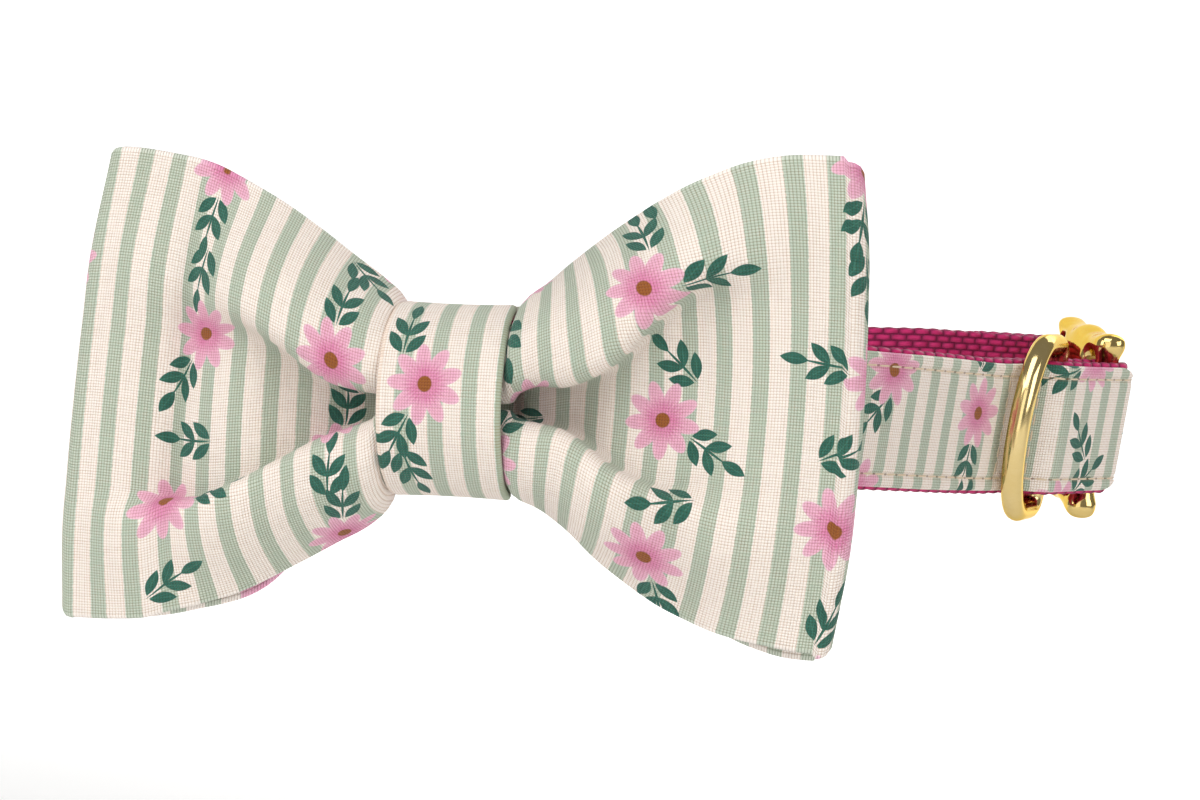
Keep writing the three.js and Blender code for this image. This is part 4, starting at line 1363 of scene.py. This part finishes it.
def cottonMaterial(name, stripeShift, printShift, seed, turned=False, holes=False):
    material, tree, shader = newMaterial(name)
    cloth = clothCoords(tree)
    if turned:
        cloth = put(tree, "ShaderNodeMapping", {
            "Vector": cloth, "Rotation": (0, 0, math.pi / 2)}).outputs[0]
    made = useGroup(tree, printedCloth, {"Cloth": cloth, "Stripe Shift": stripeShift,
                                         "Print Shift": printShift, "Seed": seed})
    colour = needleHoleShade(tree, cloth, made["Color"]) if holes else made["Color"]
    feed(tree, shader["Base Color"], colour)
    feed(tree, shader["Roughness"], made["Roughness"])
    shader["Sheen Weight"].default_value = prints["sheen"]
    shader["Specular IOR Level"].default_value = prints["specular"]
    addBump(tree, shader, made["Height"], prints["bump"])
    return material


# small needle holes between the stitches of both long seams, painted dark brown as the shade in
# them, with painted shade in the cloth along the seam
needle = {
    "holeShade": hexColour("7C5737"), "holeShadeShare": 0.6, "long": 0.42, "wide": 0.27, "edge": (0.5, 1.1),
    "shade": hexColour("B79C80"), "shadeShare": 0.16, "shadeEdge": (0.6, 2.6),
}


def needleHoleShade(tree, cloth, colour):
    x, y, _ = apart(tree, cloth)
    beat = calc(tree, "FRACT", plus(tree, over(tree, x, cover["stitch"]), 0.5))
    along = times(tree, minus(tree, beat, 0.5), cover["stitch"] / needle["long"])
    across = over(tree, minus(tree, calc(tree, "ABSOLUTE", y), cover["seam"]), needle["wide"])
    holeShade = stepDown(tree, lengthOf(tree, along, across), *needle["edge"])
    shade = stepDown(tree, calc(tree, "ABSOLUTE", across), *needle["shadeEdge"])
    colour = mixColour(tree, times(tree, shade, needle["shadeShare"]), colour, needle["shade"])
    # painted shade in the needle holes
    return mixColour(tree, times(tree, holeShade, needle["holeShadeShare"]), colour, needle["holeShade"])


# ribbed webbing, its nubs in rows that step half a rib from one yarn to the next
raspberry = {
    # dark is painted shade in the grooves between the nubs, bright is painted light on the nub tops
    "dark": hexColour("780A40"), "bright": hexColour("CC2A6E"), "yarn": 1.25, "nub": 0.6,
    "fibre": (0.9, 7.5, 1), "fibreHeight": 0.35, "grooveShadeAt": (0.25, 1.1),
    "rough": 0.42, "roughFibre": 0.3, "specular": 0.3, "bump": 0.0006,
}


def webbingMaterial():
    material, tree, shader = newMaterial("raspberryWebbing")
    cloth = clothCoords(tree)
    x, y, _ = apart(tree, cloth)
    across = over(tree, y, raspberry["yarn"])
    offset = calc(tree, "FRACT", times(tree, calc(tree, "FLOOR", across), 0.5))
    along = plus(tree, over(tree, x, webbing["rib"]), offset)
    nub = nubOf(tree, times(tree, along, math.pi), times(tree, across, math.pi), raspberry["nub"])
    fibre = noiseAt(tree, stretched(tree, cloth, raspberry["fibre"]), 1.0, 3.0)
    height = timesPlus(tree, fibre, raspberry["fibreHeight"], nub)
    # painted shade and light: the colour follows the height, darker in the grooves and brighter on
    # the nubs and fibres
    tone = stepUp(tree, height, *raspberry["grooveShadeAt"])
    rough = timesPlus(tree, fibre, raspberry["roughFibre"], raspberry["rough"])
    feed(tree, shader["Base Color"], mixColour(tree, tone, raspberry["dark"], raspberry["bright"]))
    feed(tree, shader["Roughness"], rough)
    shader["Specular IOR Level"].default_value = raspberry["specular"]
    addBump(tree, shader, height, raspberry["bump"])
    return material


thread = {
    "dark": hexColour("C9B08F"), "bright": hexColour("EBD9C2"), "twist": 5200.0,
    "rough": 0.5, "roughTwist": 0.2, "bump": 0.00006, "bumpShare": 0.8,
}


def threadMaterial():
    material, tree, shader = newMaterial("creamThread")
    twist = noiseAt(tree, objectCoords(tree), thread["twist"], 2.0)
    feed(tree, shader["Base Color"], mixColour(tree, twist, thread["dark"], thread["bright"]))
    feed(tree, shader["Roughness"], timesPlus(tree, twist, thread["roughTwist"], thread["rough"]))
    addBump(tree, shader, twist, thread["bump"], thread["bumpShare"])
    return material


def goldMaterial(name, toneHex, deepHex, smooth, dull):
    material, tree, shader = newMaterial(name)
    tone, deep = hexColour(toneHex), hexColour(deepHex)
    worn = useGroup(tree, polish, {"Place": objectCoords(tree), "Smooth": smooth, "Dull": dull})
    feed(tree, shader["Base Color"], mixColour(tree, worn["Tone"], deep, tone))
    feed(tree, shader["Roughness"], worn["Roughness"])
    shader["Metallic"].default_value = 1.0
    shader["Specular Tint"].default_value = tone
    addBump(tree, shader, worn["Height"], metal["bump"], metal["bumpShare"])
    return material


def paperMaterial():
    material, tree, shader = newMaterial("studioPaper")
    place = objectCoords(tree)
    pale = (*studio["paper"], 1)
    grey = (*(c * studio["grainDark"] for c in studio["paper"]), 1)
    grain = noiseAt(tree, place, studio["grain"], 4.0)
    feed(tree, shader["Base Color"], mixColour(tree, grain, grey, pale))
    shader["Roughness"].default_value = studio["rough"]
    _, y, z = apart(tree, place)
    glow = stepUp(tree, plus(tree, y, z), studio["glowFrom"], studio["glowFull"])
    feed(tree, shader["Emission Color"], mixColour(tree, glow, black, white))
    shader["Emission Strength"].default_value = studio["glow"]
    return material


# each cotton's stripe shift, print shift and seed; each gold's light and deep tone and its wear
for piece, material in (
        (bowCloth, cottonMaterial("bowCotton", 1.2, (4.0, 6.0, 0), 3.0)),
        (knotBand, cottonMaterial("knotCotton", 2.4, (9.0, 3.0, 0), 5.0, turned=True)),
        (coverStrip, cottonMaterial("coverCotton", 0.6, (12.0, 0.5, 0), 9.0, holes=True)),
        (webbingLoop, webbingMaterial()),
        (coverStitches, threadMaterial()),
        (dRing, goldMaterial("ringGold", "EED9A2", "DCBE78", smooth=0.1, dull=0.22)),
        (buckleCast, goldMaterial("buckleGold", "EBD694", "CFAC62", smooth=0.08, dull=0.18)),
        (floor, paperMaterial())):
    piece.data.materials.clear()
    piece.data.materials.append(material)
print("materials set")

# what moves with what, and the CAD part that each piece replaces, which is hidden
for piece, node, slot, body in (
        (bowCloth, "bow_loop", "printed_cotton", "collar"),
        (knotBand, "bow_knot", "printed_cotton", "collar"),
        (coverStrip, "strap_cover", "printed_cotton", "collar"),
        (webbingLoop, "webbing", "webbing", "collar"),
        (buckleCast, "buckle", "buckle_gold", "collar"),
        (dRing, "d_ring", "ring_gold", "ring")):
    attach(piece, body)
    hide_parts(node)
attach(coverStitches, "collar")
